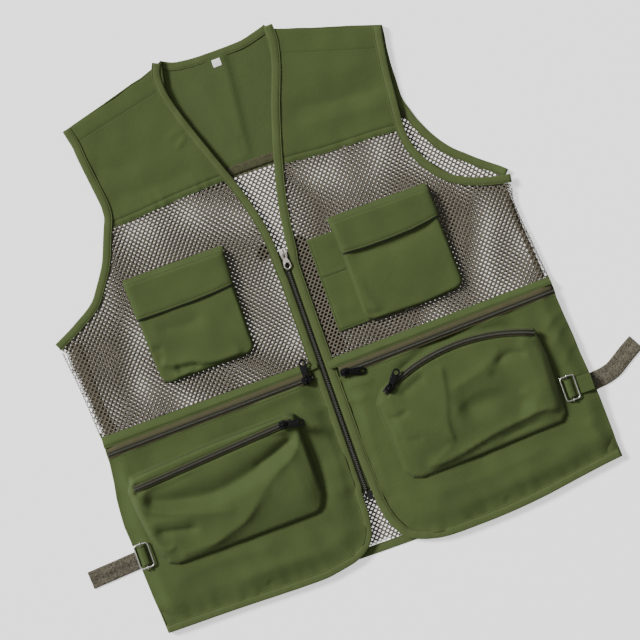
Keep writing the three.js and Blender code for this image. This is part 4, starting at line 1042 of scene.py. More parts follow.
# ================================================================ ZIPS
def coil(b, line, zf, half=0.85, pitch=1.35, m=0, rise=1.0, gap=0.4):
    """Two rows of nylon coil turns that mesh along the line."""
    p = resample(line, pitch)
    nn = normals(p)
    t = np.column_stack([nn[:, 1], -nn[:, 0]])
    V, F = [], []
    ring = [(-0.46, 0.0), (-0.40, 0.55), (0.0, 0.85), (0.40, 0.55), (0.46, 0.0)]
    for row in (-1, 1):
        for i in range(len(p)):
            c = p[i] + t[i] * (pitch / 2 if row > 0 else 0)
            k = len(V)
            for u, s in ((gap * -0.6 * row, 0.72), (row * half * 0.5, 1.0), (row * half, 0.96), (row * (half + 0.4), 0.45)):
                q = c + nn[i] * u
                z0 = float(zf(np.array([q[0]]), np.array([q[1]]))[0]) if callable(zf) else zf
                for a, h in ring:
                    V.append((q[0] + t[i][0] * a * pitch * 0.82 * (0.6 + 0.4 * s), q[1] + t[i][1] * a * pitch * 0.82 * (0.6 + 0.4 * s), z0 + h * rise * 1.35 * s))
            for r in range(3):
                for a in range(4):
                    F.append((k + r * 5 + a, k + r * 5 + a + 1, k + r * 5 + a + 6, k + r * 5 + a + 5))
    b.add(V, F, m)


def zip_strip(name, line, z, side, slot, node, up=8.4, down=4.6, grey=True, zfun=None, tape=None):
    zf = zfun if zfun is not None else (lambda x, y: z + 0 * x)
    b = Mesh()
    p = resample(line, 3.0)
    sweep(b, p, [(2.3, 0.42), (3.2, 0.42), (up, 0.30), (up, -0.3), (2.3, -0.3)], zf, 0, step=3)
    sweep(b, p, [(-down, 0.30), (-3.0, 0.42), (-2.3, 0.42), (-2.3, -0.3), (-down, -0.3)], zf, 0, step=3)
    sweep(b, p, [(-2.9, 0.46), (-1.0, 0.30), (1.0, 0.30), (2.9, 0.46), (2.9, -0.2), (-2.9, -0.2)], zf, 2, step=3)
    coil(b, line, lambda x, y: zf(x, y) + 0.25, m=1)
    stitches(b, shift(p, 4.2), lambda x, y: zf(x, y) + 0.38, 2, 2.2, 1.5, 0.3, 0.15)
    o = b.make(name, [tape or M_TAPE, M_COILGREY if grey else M_COIL, M_TAPEDARK])
    root(o, side + "_front", slot, node)
    return o


zip_strip("right_long_zipper", [[-275.4, -94.6], [-18.2, -88.6]], 13.9, "right", "nylon_zip", "right_long_zip",
          zfun=lambda x, y: 13.9 - 3.6 * (1 - smooth(0, 16, x + 277)) + waves(x, y, 71, 60, 0.12))
zip_strip("left_long_zipper", [[14.2, -95.2], [282.6, -86.8]], 13.9, "left", "nylon_zip", "left_long_zip",
          zfun=lambda x, y: 13.9 - 3.6 * (1 - smooth(0, 16, 284.4 - x)) + waves(x, y, 72, 60, 0.12))


# ================================================================ CARGO POCKETS
def rise(d, R, h):
    t = np.clip(d / R, 0, 1)
    return h * np.sqrt(np.maximum(1 - (1 - t) ** 2, 0))


def settle(z, top=31.0, room=3.4):
    """Keep the highest creases low, without a flat cut."""
    return np.where(z > top, top + room * (1 - np.exp(-(z - top) / room)), z)


def right_cargo_top(x, y, d):
    db, _, _ = near([(-262, -236), (-250, -239), (-238, -243), (-150, -242), (-64, -240), (-54, -236)], x, y)
    dr, _, _ = near([(-51.4, -236), (-51.4, -221), (-51, -145), (-52.5, -110)], x, y)
    R = 5.5 + 4.0 * smooth(-238, -262, x)
    high = 16.0 * (0.50 + 0.50 * smooth(0, 52, db)) * (0.76 + 0.24 * smooth(0, 24, dr))
    z = 14.1 + rise(d, R, high)
    s, sd, t = near(R_CARGO_ZIP, x, y)
    w = smooth(2, 11, d)
    k = 0.0
    # the hollow under the zip, the fold from its left end, and the long diagonal fold
    k = k + fold(x, y, [(-256, -159), (-214, -171), (-175, -177), (-141, -173), (-111, -165), (-81, -156), (-56, -146)], -8.2, 11, 11, 0.07, 1.6)
    k = k + fold(x, y, [(-122, -167), (-100, -161), (-78, -153), (-56, -143)], -3.2, 6, 3.0, 0.2)
    k = k + fold(x, y, [(-268, -143), (-264, -158), (-243, -175), (-207, -190), (-170, -200), (-149, -204)], 4.6, 13, 4.2, 0.14, 1.2)
    k = k + fold(x, y, [(-53, -143), (-67, -164), (-94, -179), (-116, -194), (-146, -219), (-175, -229), (-202, -238), (-234, -245)], 3.6, 4.6, 22, 0.05, 1.1)
    k = k + fold(x, y, [(-105, -187), (-120, -198), (-146, -219), (-175, -229), (-205, -238)], 3.0, 12, 22, 0.2, 1.2)
    k = k + fold(x, y, [(-256, -198), (-231, -203), (-198, -210)], -5.2, 5.5, 7, 0.25)
    k = k + fold(x, y, [(-262, -186), (-230, -190), (-200, -196)], 1.4, 5, 5, 0.25)
    k = k + fold(x, y, [(-255, -217), (-242, -223), (-233, -218)], 2.0, 2.6, 2.8, 0.25)
    k = k + fold(x, y, [(-110, -131.5), (-84, -137), (-58, -146)], -1.8, 3, 3.4, 0.2)
    k = k + fold(x, y, [(-250, -152), (-215, -152), (-175, -146)], -1.0, 6, 5, 0.25)
    k = k + dent(x, y, -82, -216, 30, 16, 3.0, 10) + waves(x, y, 81, 38, 0.35)
    z = settle(z + k * w)
    # knot at the lower left corner, tuck at the left end of the zip
    z = z + fold(x, y, [(-256, -240), (-251, -233), (-247, -229)], -3.0, 3, 2.4, 0.3) * smooth(0, 4, d)
    z = z + fold(x, y, [(-263, -128), (-259.5, -136), (-260, -144)], -2.4, 2.2, 3.5, 0.2)
    # under the zip the cloth stays at the zip's height
    q = np.exp(-((s / 6.5) ** 4)) * smooth(0, 0.02, t)
    want = zip_r(x, y) - 0.75
    z = np.where(s < 14, z * (1 - q) + want * q, z)
    z = z + pucker(x, y, [[-256, -128.4], [-150, -121.4], [-66, -119.6]], 0.5, 17, 4.5, 9) * w
    return np.clip(z, 12.5, 34.5)


def zip_r(x, y):
    return 31.2 - 6.0 * (1 - smooth(-266, -244, x)) - 1.2 * smooth(-64, -54, x)


def zip_l(x, y):
    ang = np.degrees(np.arctan2(x - ARC["x"], y - ARC["y"]))
    t = (ang - ARC["middle"]) / ARC["span"] + 0.5
    return 31.2 - 4.0 * smooth(0.93, 1.01, t) - 1.0 * (1 - smooth(-0.01, 0.02, t))


def left_cargo_top(x, y, d):
    rr = np.hypot(x - ARC["x"], y - ARC["y"])
    db, _, _ = near([(44, -236), (54, -238.6), (66, -243), (138, -240.6), (242, -235.4), (252, -232)], x, y)
    dr, _, _ = near([(250, -234), (250.2, -190), (250.6, -156), (248.6, -128)], x, y)
    dl, _, _ = near([(42.4, -136), (44.4, -182), (47.6, -234)], x, y)
    high = 16.2 * (0.40 + 0.60 * smooth(0, 54, db)) * (0.72 + 0.28 * smooth(0, 24, dr)) * (0.75 + 0.25 * smooth(0, 18, dl))
    z = 14.1 + rise(d, 6.0 - 1.5 * smooth(-160, -130, y), high)
    w = smooth(2, 11, d)
    k = 0.0
    # the step down the front, the hollow in the middle and the fold along the foot
    k = k + fold(x, y, [(129, -121), (122, -159), (113, -193), (115, -218)], 2.8, 2.4, 16, 0.14, 1.1)
    k = k + fold(x, y, [(126, -185), (154, -182), (181, -184), (202, -197), (217, -210)], -6.4, 17, 15, 0.2, 1.8)
    k = k + fold(x, y, [(117, -192), (133, -177), (153, -169), (174, -169), (193, -178)], 1.5, 12, 8, 0.25)
    k = k + fold(x, y, [(72, -238), (114, -231), (161, -221), (201, -216), (226, -214), (249, -223)], 5.4, 10, 3.6, 0.10, 1.15)
    k = k + fold(x, y, [(160, -232), (195, -227), (228, -226)], -1.8, 4, 4, 0.25)
    k = k + fold(x, y, [(124, -157), (150, -151), (175, -144), (203, -127)], 2.4, 6, 7, 0.2)
    k = k + fold(x, y, [(186, -147), (207, -138), (230, -146)], -3.2, 4.5, 5, 0.25)
    k = k + fold(x, y, [(176, -150), (192, -164), (212, -190)], -2.2, 7, 5, 0.2)
    k = k + fold(x, y, [(224, -121), (243, -138), (243, -165), (241, -194), (248, -222)], 3.4, 4.0, 12, 0.1, 1.2)
    k = k + fold(x, y, [(68, -144), (92, -134), (110, -128)], -2.4, 4.5, 6, 0.25)
    k = k + fold(x, y, [(44, -158), (58, -165), (76, -161)], -2.0, 3.2, 4, 0.2) + fold(x, y, [(48, -186), (66, -196), (84, -196)], -1.2, 5, 6, 0.25)
    k = k + fold(x, y, [(116, -214), (96, -224), (70, -236)], 1.6, 8, 5, 0.25) + dent(x, y, 86, -178, 24, 26, 1.6)
    k = k + waves(x, y, 82, 42, 0.4)
    z = settle(z + k * w)
    s = np.abs(rr - ARC["r"])
    q = np.exp(-((s / 6.0) ** 4))
    ang = np.degrees(np.arctan2(x - ARC["x"], y - ARC["y"]))
    t = (ang - ARC["middle"]) / ARC["span"] + 0.5
    q = q * smooth(-0.03, 0.0, t) * smooth(1.03, 1.0, t)
    z = z * (1 - q) + (zip_l(x, y) - 0.75) * q
    return np.clip(z, 12.5, 34.5)


b = Mesh()
top_stitch = [[-256, -128.4], [-150, -121.4], [-66, -119.6]]
sheet(b, R_CARGO, right_cargo_top, 0.7, 2.6, rings=(0.35, 0.9, 1.8, 3.0, 4.6, 6.6, 9.0), seams=[(top_stitch, 0.3), (shift(R_CARGO_ZIP, 4.6), 0.35), (shift(R_CARGO_ZIP, -4.8), 0.35)])
o = b.make("right_cargo_pocket_cloth", CLOTH)
root(o, "right_front", "cloth", "right_cargo_pouch")
declare(o)
b = Mesh()
sheet(b, L_CARGO_OUT, left_cargo_top, 0.7, 2.6, rings=(0.35, 0.9, 1.8, 3.0, 4.6, 6.6, 9.0), seams=[(shift(L_CARGO_ZIP, -4.8), 0.35)])
o = b.make("left_cargo_pocket_cloth", CLOTH)
root(o, "left_front", "cloth", "left_cargo_pouch")
declare(o)

zip_strip("right_cargo_zipper", R_CARGO_ZIP, 31.2, "right", "nylon_zip", "right_cargo_zip", up=3.6, down=3.6, zfun=zip_r)
zip_strip("left_cargo_zipper", L_CARGO_ZIP, 31.2, "left", "nylon_zip", "left_cargo_zip", up=3.4, down=3.6, zfun=zip_l)

# seams that hold the pockets down, and their flat edge
for side, line in (("right", R_CARGO), ("left", L_CARGO_OUT)):
    b = Mesh()
    ring = np.array(line + [line[0]], float)
    if area(ring[:-1]) < 0:
        ring = ring[::-1]
    sweep(b, resample(ring[:-1], 3.5, True), [(-1.1, -0.7), (-1.2, 0.1), (-0.4, 0.45), (0.6, 0.5), (1.0, -0.4)], lambda x, y, side=side: panel_top(x, y, side) + 0.5, 0, closed=True, step=3.5)
    root(b.make(side + "_cargo_foot_seam", CLOTH), side + "_front", "cloth")


# ================================================================ CHEST POCKETS
def right_pouch_top(x, y, d):
    z = 9.0 + rise(d, 3.6, 8.6 * (0.60 + 0.40 * smooth(-42, 14, y + 0.12 * (x + 130))))
    w = smooth(1.0, 6, d)
    k = fold(x, y, [(-183, -13), (-166, -21), (-146, -25), (-124, -31), (-102, -37), (-82, -35)], 4.55, 9, 3.2, 0.08, 1.2)
    k = k + fold(x, y, [(-168, -22), (-156, -25), (-143, -27), (-136, -33)], -4.55, 2.2, 4.5, 0.2)
    k = k + fold(x, y, [(-171, -38), (-160, -36), (-148, -34)], 4.20, 4.5, 2.6, 0.2, 1.2)
    k = k + fold(x, y, [(-166, -30), (-156, -31), (-148, -31)], -2.80, 2.4, 2.4, 0.25)
    k = k + fold(x, y, [(-103, -40), (-90, -39), (-78, -34)], -2.80, 2.2, 3, 0.2)
    k = k + fold(x, y, [(-189, 4), (-180, 4), (-172, 2)], -1.75, 2.5, 4, 0.2)
    k = k + fold(x, y, [(-176, 26), (-140, 20), (-110, 24)], -2.27, 9, 9, 0.25)
    k = k + dent(x, y, -112, 4, 36, 22, 0.9) + waves(x, y, 83, 38, 0.4)
    return np.clip(z + k * w, 8.8, 18.75 + 0 * x)


def left_pouch_top(x, y, d):
    z = 10.0 + rise(d, 3.8, 9.2 * (0.72 + 0.28 * smooth(-48, 10, y)))
    w = smooth(1.5, 10, d)
    k = dent(x, y, 120, 0, 46, 34, 0.5) + fold(x, y, [(66, 10), (74, -20), (84, -44)], 1.12, 6, 9, 0.2)
    k = k + fold(x, y, [(66, 34), (120, 28), (182, 36)], -1.96, 7, 9, 0.15) + fold(x, y, [(64, -36), (78, -44), (92, -48)], -1.68, 3, 3, 0.2)
    k = 1.5 * k + fold(x, y, [(178, -42), (183, -30), (184, 0)], 0.84, 5, 5, 0.2) + waves(x, y, 84, 44, 0.35)
    return np.clip(z + k * w, 9.8, 19.65 + 0 * x)


def flap_top(x, y, d, side):
    if side == "right":
        hy, z0, e = 93.4, 21.6, ([[-191.6, 93.4], [-190, 43.6]], [[-69, 46.6], [-66.8, 94]])
    else:
        hy, z0, e = 82.6, 22.9, ([[60, 82.6], [63, 37.4]], [[185.2, 42.4], [183.6, 83.5]])
    base = 10.2 if side == "right" else 11.2
    z = z0 - (z0 - base) * (1 - smooth(0, 8.5, hy - y))
    for line in e:
        s, _, _ = near(line, x, y)
        z = z - (3.6 * np.exp(-s / 2.2)) * smooth(0, 6, hy - y)
    z = z - 0.5 * np.exp(-d / 1.0)
    if side == "right":
        z = z + fold(x, y, [(-188, 70), (-130, 66), (-72, 70)], -0.5, 12, 9) + waves(x, y, 85, 45, 0.4)
    else:
        z = z + fold(x, y, [(64, 62), (120, 58), (184, 64)], -0.5, 12, 9) + waves(x, y, 86, 45, 0.4) + 0.5 * smooth(50, 36, y) * smooth(170, 90, x)
    return np.minimum(z, z0 + 0.7)


for side, outline, flap, mouth, ptopf, base in (("right", R_CHEST, R_FLAP, 79.6, right_pouch_top, 9.0), ("left", L_CHEST, L_FLAP, 69.0, left_pouch_top, 10.2)):
    pts = np.array(outline, float)
    if area(pts) < 0:
        pts = pts[::-1]
    ring = resample(pts, 2.5, True)
    # the front of the pouch stops at the mouth under the flap
    cutp = []
    n = len(ring)
    for i in range(n):
        a, c = ring[i], ring[(i + 1) % n]
        if a[1] <= mouth:
            cutp.append(list(a))
        if (a[1] - mouth) * (c[1] - mouth) < 0:
            t = (mouth - a[1]) / (c[1] - a[1])
            cutp.append([a[0] + (c[0] - a[0]) * t, mouth])
    full = pts.copy()

    def pz(x, y, d, f=ptopf, full=full, mouth=mouth):
        dd, _, _ = near(full, x, y, True)
        lipz = 0.5 * np.exp(-((mouth - 2.0 - y) / 2.2) ** 2) - 0.8 * smooth(30, 4, np.minimum(np.abs(x - full[:, 0].min()), np.abs(x - full[:, 0].max()))) * smooth(mouth - 12, mouth, y)
        return f(x, y, dd) + lipz * smooth(2, 8, dd)
    b = Mesh()
    sheet(b, cutp, pz, 0.6, 2.8, rings=(0.35, 0.9, 1.8, 3.0, 4.6, 6.4), seams=[([[full[:, 0].min() + 4, mouth - 4.2], [full[:, 0].max() - 4, mouth - 4.2]], 0.25)])
    o = b.make(side + "_chest_pocket_cloth", CLOTH)
    root(o, side + "_front", "cloth", side + "_chest_pouch")
    declare(o)
    # back of the pocket, on the net
    b = Mesh()
    sheet(b, shift(pts, 0).tolist(), lambda x, y, d, base=base: base + 0.3 + 0 * x, 0.5, 7)
    root(b.make(side + "_chest_pocket_back", [M_INSIDE, M_THREAD_GROOVE_SHADE]), side + "_front", "cloth")
    b = Mesh()
    fl = np.array(flap, float)
    seams = [([[fl[:, 0].min() + 1.5, (86.4 if side == "right" else 75.8)], [fl[:, 0].max() - 1.5, (86.9 if side == "right" else 76.2)]], 0.35)]
    low = [p for p in flap[1:-1]]
    sheet(b, flap, lambda x, y, d, side=side: flap_top(x, y, d, side), 0.8, 2.8, rings=(0.4, 1.1, 2.2), seams=seams + [(shift(low, 2.6), 0.22)])
    o = b.make(side + "_pocket_flap", CLOTH)
    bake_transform(o)
    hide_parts(side + "_chest_flap")
    declare(o)

    # slate strip under the flap's lower edge: partly the real bluish edge, partly painted shadow for the gap under the
    # flap
    b = Mesh()
    lowline = [list(p) for p in flap[1:-1]]
    if lowline[0][0] > lowline[-1][0]:
        lowline = lowline[::-1]
    sweep(b, resample(lowline, 3.0), [(-1.1, -1.75), (-1.1, -1.15), (3.2, -1.0), (3.2, -1.6)], lambda x, y, side=side: flap_top(x, y, 0.6 + 0 * x, side), 0, step=3)
    o = b.make(side + "_flap_edge_painted_shadow", [M_FLAP_EDGE_SHADOW])
    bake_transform(o)

# flat pocket beside the left chest pocket
flat = [[29.4, 66.2], [29.6, -48.4], [66, -47.6], [90, -44], [180, -42], [181, 62], [63, 66]]
b = Mesh()
sheet(b, flat, lambda x, y, d: 9.9 + waves(x, y, 87, 30, 0.2) * smooth(0, 5, d) + 0.55 * (1 - np.exp(-d / 1.5)) + fold(x, y, [(29, 21), (45, 20), (62, 21)], 0.5, 1.4, 3.5, 0.02) + fold(x, y, [(33, -20), (44, -26), (58, -30)], 0.5, 5, 4),
      0.6, 3.0, rings=(0.5, 1.4), seams=[(shift([[29.4, 66.2], [29.6, -48.4]], 1.8), 0.2), ([[31, -46.4], [64, -45.6]], 0.2), ([[30, 18.2], [62, 18.6]], 0.25)])
o = b.make("left_flat_pocket_cloth", CLOTH)
root(o, "left_front", "cloth", "left_flat_pocket")
declare(o)


# ================================================================ FRONT AND ARMHOLE BINDINGS
def trim_top(x, y):
    v = smooth(150, 180, y)
    return 9.7 + (yoke_top(x, y) - 8.6) * v + 0.15 * waves(x, y, 88, 45, 1.0) - 1.0 * (1 - smooth(0, 30, 292 - np.abs(x - 4)))


b = Mesh()
binding(b, R_HEM + R_EDGE[1:], 9.8, trim_top, 1, groove=(1.5,), seed=35, h=0.85)
o = b.make("right_front_tape", TRIM)
hang(o, "right", "binding", "right_front_binding")
b = Mesh()
binding(b, L_HEM + [[2.4, -225], [1.4, -200], [1.2, 46]] + L_EDGE[2:], 10.6, trim_top, -1, groove=(1.5,), seed=36, h=0.85)
o = b.make("left_front_tape", TRIM)
hang(o, "left", "binding", "left_front_binding")
b = Mesh()
binding(b, part(R_ARM, lambda x, y: y < 283), 9.8, trim_top, 1, groove=(1.4,), seed=37, h=0.8)
o = b.make("right_armhole_tape", TRIM)
hang(o, "right", "binding", "right_armhole_binding_front")
b = Mesh()
binding(b, L_ARM_FRONT, 9.8, trim_top, -1, groove=(1.4,), seed=38, h=0.8)
o = b.make("left_armhole_tape", TRIM)
hang(o, "left", "binding", "left_armhole_binding_front")


# ================================================================ MAIN ZIP
def teeth(b, x0, x1, ys, z0, z1, m=0):
    """Moulded teeth: each a block with a rounded head."""
    s = 1 if x1 > x0 else -1
    w = abs(x1 - x0)
    prof = [(0, 0.62), (w * 0.55, 0.55), (w * 0.8, 0.78), (w, 0.5)]
    V, F = [], []
    for y in ys:
        k = len(V)
        for u, h in prof:
            zz = z1 - (0.35 if u == w else 0.0)
            V += [(x0 + s * u, y - h, z0), (x0 + s * u, y - h, zz - 0.2), (x0 + s * u, y - h * 0.5, zz), (x0 + s * u, y + h * 0.5, zz), (x0 + s * u, y + h, zz - 0.2), (x0 + s * u, y + h, z0)]
        for r in range(3):
            for a in range(5):
                F.append((k + r * 6 + a, k + r * 6 + a + 1, k + r * 6 + a + 7, k + r * 6 + a + 6))
        F.append(tuple(k + i for i in range(6)))
        F.append(tuple(k + 18 + i for i in reversed(range(6))))
    b.add(V, F, m)


ys = np.arange(-234.5, 38, 2.6)
b = Mesh()
sweep(b, [[-5.3, -236], [-5.3, 40]], [(0.6, -0.3), (0.6, 0.3), (-0.8, 0.3), (-0.8, -0.3)], lambda x, y: 8.6 + 0 * x, 1, step=6)
teeth(b, -5.6, -3.0, ys, 8.2, 10.4, 0)
root(b.make("main_zip_teeth_right", [M_TEETH, M_TAPEDARK]), "right_front", "nylon_zip", "main_zip_stringer_right")
# zip tapes beside the teeth, olive painted darker as painted shade
b = Mesh()
sweep(b, [[-8.4, -236], [-8.4, 60]], [(0.0, 0.0), (0.0, 0.4), (-4.9, 0.4), (-4.9, 0.0)], lambda x, y: 7.45 + 0 * x, 0, step=6)
root(b.make("main_zip_tape_right", [M_ZIPTAPE_SHADE]), "right_front", "nylon_zip")
b = Mesh()
sweep(b, [[-1.9, -236], [-1.9, 52]], [(0.6, -0.3), (0.6, 0.3), (-0.8, 0.3), (-0.8, -0.3)], lambda x, y: 8.6 + 0 * x, 1, step=6)
teeth(b, -1.6, -4.2, np.arange(-233.2, 51, 2.6), 8.2, 10.4, 0)
root(b.make("main_zip_teeth_left", [M_TEETH, M_TAPEDARK]), "left_front", "nylon_zip", "main_zip_stringer_left")
b = Mesh()
sweep(b, [[4.4, -236], [4.4, 60]], [(0.0, 0.0), (0.0, 0.4), (7.6, 0.4), (7.6, 0.0)], lambda x, y: 7.45 + 0 * x, 0, step=6)
root(b.make("main_zip_tape_left", [M_ZIPTAPE_SHADE]), "left_front", "nylon_zip")


# ================================================================ SLIDERS AND PULLS
def circle(cx, cy, rx, ry, n=28, a0=0.0):
    return [[cx + math.cos(a0 + 2 * math.pi * i / n) * rx, cy + math.sin(a0 + 2 * math.pi * i / n) * ry] for i in range(n)]


def turned(b0, mesh, place, turn):
    c, s = math.cos(turn), math.sin(turn)
    for v, in [(v,) for v in b0.v]:
        q = np.column_stack([v[:, 0] * c - v[:, 1] * s + place[0], v[:, 0] * s + v[:, 1] * c + place[1], v[:, 2] + place[2]])
        mesh.v.append(q)
    k = mesh.n
    mesh.f += [tuple(i + k for i in f) for f in b0.f]
    mesh.m += b0.m
    mesh.s += b0.s
    mesh.n += b0.n


def slider_shape(l, w, top, channel=True, dip=0.0):
    """Outline of the slider body along X, its wings narrowing towards the front."""
    o = []
    for t in np.linspace(0, 1, 9):
        o.append([-l / 2 + 1.4 * (1 - math.sin(t * math.pi / 2)), -w / 2 + 1.4 * (1 - math.cos(t * math.pi / 2)) * 0 - 0 + (1 - t) * 1.3])
    o = [[-l / 2, -w / 2 + 1.7], [-l / 2 + 0.5, -w / 2 + 0.6], [-l / 2 + 1.7, -w / 2], [l * 0.12, -w / 2], [l / 2 - 1.8, -w / 2 + 0.7], [l / 2 - 0.4, -w / 2 + 1.9], [l / 2, -w / 2 + 3.0],
         [l / 2 - 0.6, 0], [l / 2, w / 2 - 3.0], [l / 2 - 0.4, w / 2 - 1.9], [l / 2 - 1.8, w / 2 - 0.7], [l * 0.12, w / 2], [-l / 2 + 1.7, w / 2], [-l / 2 + 0.5, w / 2 - 0.6], [-l / 2, w / 2 - 1.7]]
    return o


def slider(name, body, pos, slide, pull, z, mat, slot, node, w=9.0, l=11.0, coil_h=1.3, channel=True):
    b = Mesh()
    top = coil_h + 1.8 if channel else 1.6
    lb = Mesh()
    shape = slider_shape(l, w, top)
    plate(lb, shape, [], (coil_h + 0.45 if channel else 0.0), top, 0.5)
    if channel:
        for s in (-1, 1):
            plate(lb, [[-l / 2 + 1.0, s * (w / 2 - 1.5)], [l / 2 - 2.2, s * (w / 2 - 1.5)], [l / 2 - 2.4, s * (w / 2 - 0.2)], [-l / 2 + 1.4, s * (w / 2 - 0.1)]], [], 0.35, coil_h + 0.9, 0.25)
    turned(lb, b, (pos[0], pos[1], z), slide)
    # the crown: a bowed bar that holds the pull
    ab = Mesh()
    arch = []
    for k in range(17):
        a = math.pi * k / 16
        arch.append((-math.cos(a) * 3.7, 0, top - 0.3 + 3.2 * math.sin(a) ** 0.8))
    tube(ab, arch, [1.15 if 2 < k < 14 else 1.3 for k in range(17)], sides=12)
    plate(ab, circle(-3.6, 0, 1.9, 1.7, 18), [], top - 0.5, top + 0.5, 0.3)
    plate(ab, circle(3.6, 0, 1.9, 1.7, 18), [], top - 0.5, top + 0.5, 0.3)
    turned(ab, b, (pos[0], pos[1], z), pull)
    o = b.make(name, [mat], soft_edge=40)
    root(o, body, slot, node)
    return z + top + 1.2


def puller(name, body, pos, direction, axis, mat, slot, node, length=25.0, w0=6.6, w1=9.0, hole=2.3, tilt=0.10):
    c = length - w1 / 2
    outer = [[-0.8, -w0 / 2 + 0.7], [-0.2, -w0 / 2], [6.4, -w0 / 2 + 0.1]]
    outer += [[9.5, -w1 / 2 + 0.7], [13, -w1 / 2 + 0.2]]
    for i in range(-7, 8):
        outer.append([c + math.cos(i * math.pi / 14) * w1 / 2, math.sin(i * math.pi / 14) * w1 / 2])
    outer += [[13, w1 / 2 - 0.2], [9.5, w1 / 2 - 0.7], [6.4, w0 / 2 - 0.1], [-0.2, w0 / 2], [-0.8, w0 / 2 - 0.7]]
    slot_hole = [[0.75, -1.9], [5.4, -1.9], [5.4, 1.9], [0.75, 1.9]]
    ring = circle(c - 0.3, 0, hole * 1.25, hole, 24)
    b = Mesh()
    plate(b, outer, [slot_hole, ring], -0.75, 0.75, 0.45, (pos[0], pos[1], axis), direction, tilt)
    # raised rim round the ring and a raised panel between ring and slot
    plate(b, circle(c - 0.3, 0, hole * 1.25 + 1.25, hole + 1.25, 30), [circle(c - 0.3, 0, hole * 1.25 + 0.05, hole + 0.05, 30)], 0.35, 1.15, 0.35, (pos[0], pos[1], axis), direction, tilt)
    if length > 22:
        plate(b, [[8.6, -2.5], [c - hole * 1.25 - 1.6, -2.9], [c - hole * 1.25 - 1.0, 0], [c - hole * 1.25 - 1.6, 2.9], [8.6, 2.5]], [], 0.4, 1.15, 0.35, (pos[0], pos[1], axis), direction, tilt)
    o = b.make(name, [mat], soft_edge=40)
    root(o, body, slot, node)


def at(line, t):
    return [line[0][0] + (line[1][0] - line[0][0]) * t, line[0][1] + (line[1][1] - line[0][1]) * t]


def angle(line):
    return math.atan2(line[1][1] - line[0][1], line[1][0] - line[0][0])


D = math.pi / 180
spots = (("right_long", at(R_ZIP, 0.968), angle(R_ZIP), 84 * D, 14.4), ("left_long", at(L_ZIP, 0.022), angle(L_ZIP), -14 * D, 14.4),
         ("right_cargo", at(R_CARGO_ZIP, 0.955), angle(R_CARGO_ZIP), -12 * D, 32.1), ("left_cargo", arc_at(0.04), -bearing(0.04), 47 * D, 32.1))
for nm, pos, sl, pu, z in spots:
    flip = sl + math.pi if nm.startswith("left") else sl
    axis = slider(nm + "_slider_body", nm + "_runner", pos, flip, pu, z, M_BLACK, "black_enamel", nm + "_slider")
    puller(nm + "_pull_tab", nm + "_tongue", pos, pu, axis, M_BLACK, "black_enamel", nm + "_pull", tilt=0.12 if "long" in nm else 0.05)
axis = slider("main_slider_body", "main_runner", (-2.0, 60.0), -90 * D, -90 * D, 10.8, M_SILVER, "silver", "main_zip_slider", w=8.4, l=14, channel=False)
puller("main_pull_tab", "main_tongue", (-2.0, 60.0), -90 * D, axis, M_SILVER, "silver", "main_zip_pull", 19.4, 6.2, 9.6, 2.7, tilt=0.08)


# ================================================================ WAIST ADJUSTERS
def loop_rect(w, h, r, n=7):
    p = []
    for cx, cy, a0 in ((w - r, h - r, 0), (-w + r, h - r, 90), (-w + r, -h + r, 180), (w - r, -h + r, 270)):
        for i in range(n):
            a = math.radians(a0 + 90 * i / (n - 1))
            p.append((cx + math.cos(a) * r, cy + math.sin(a) * r))
    return p


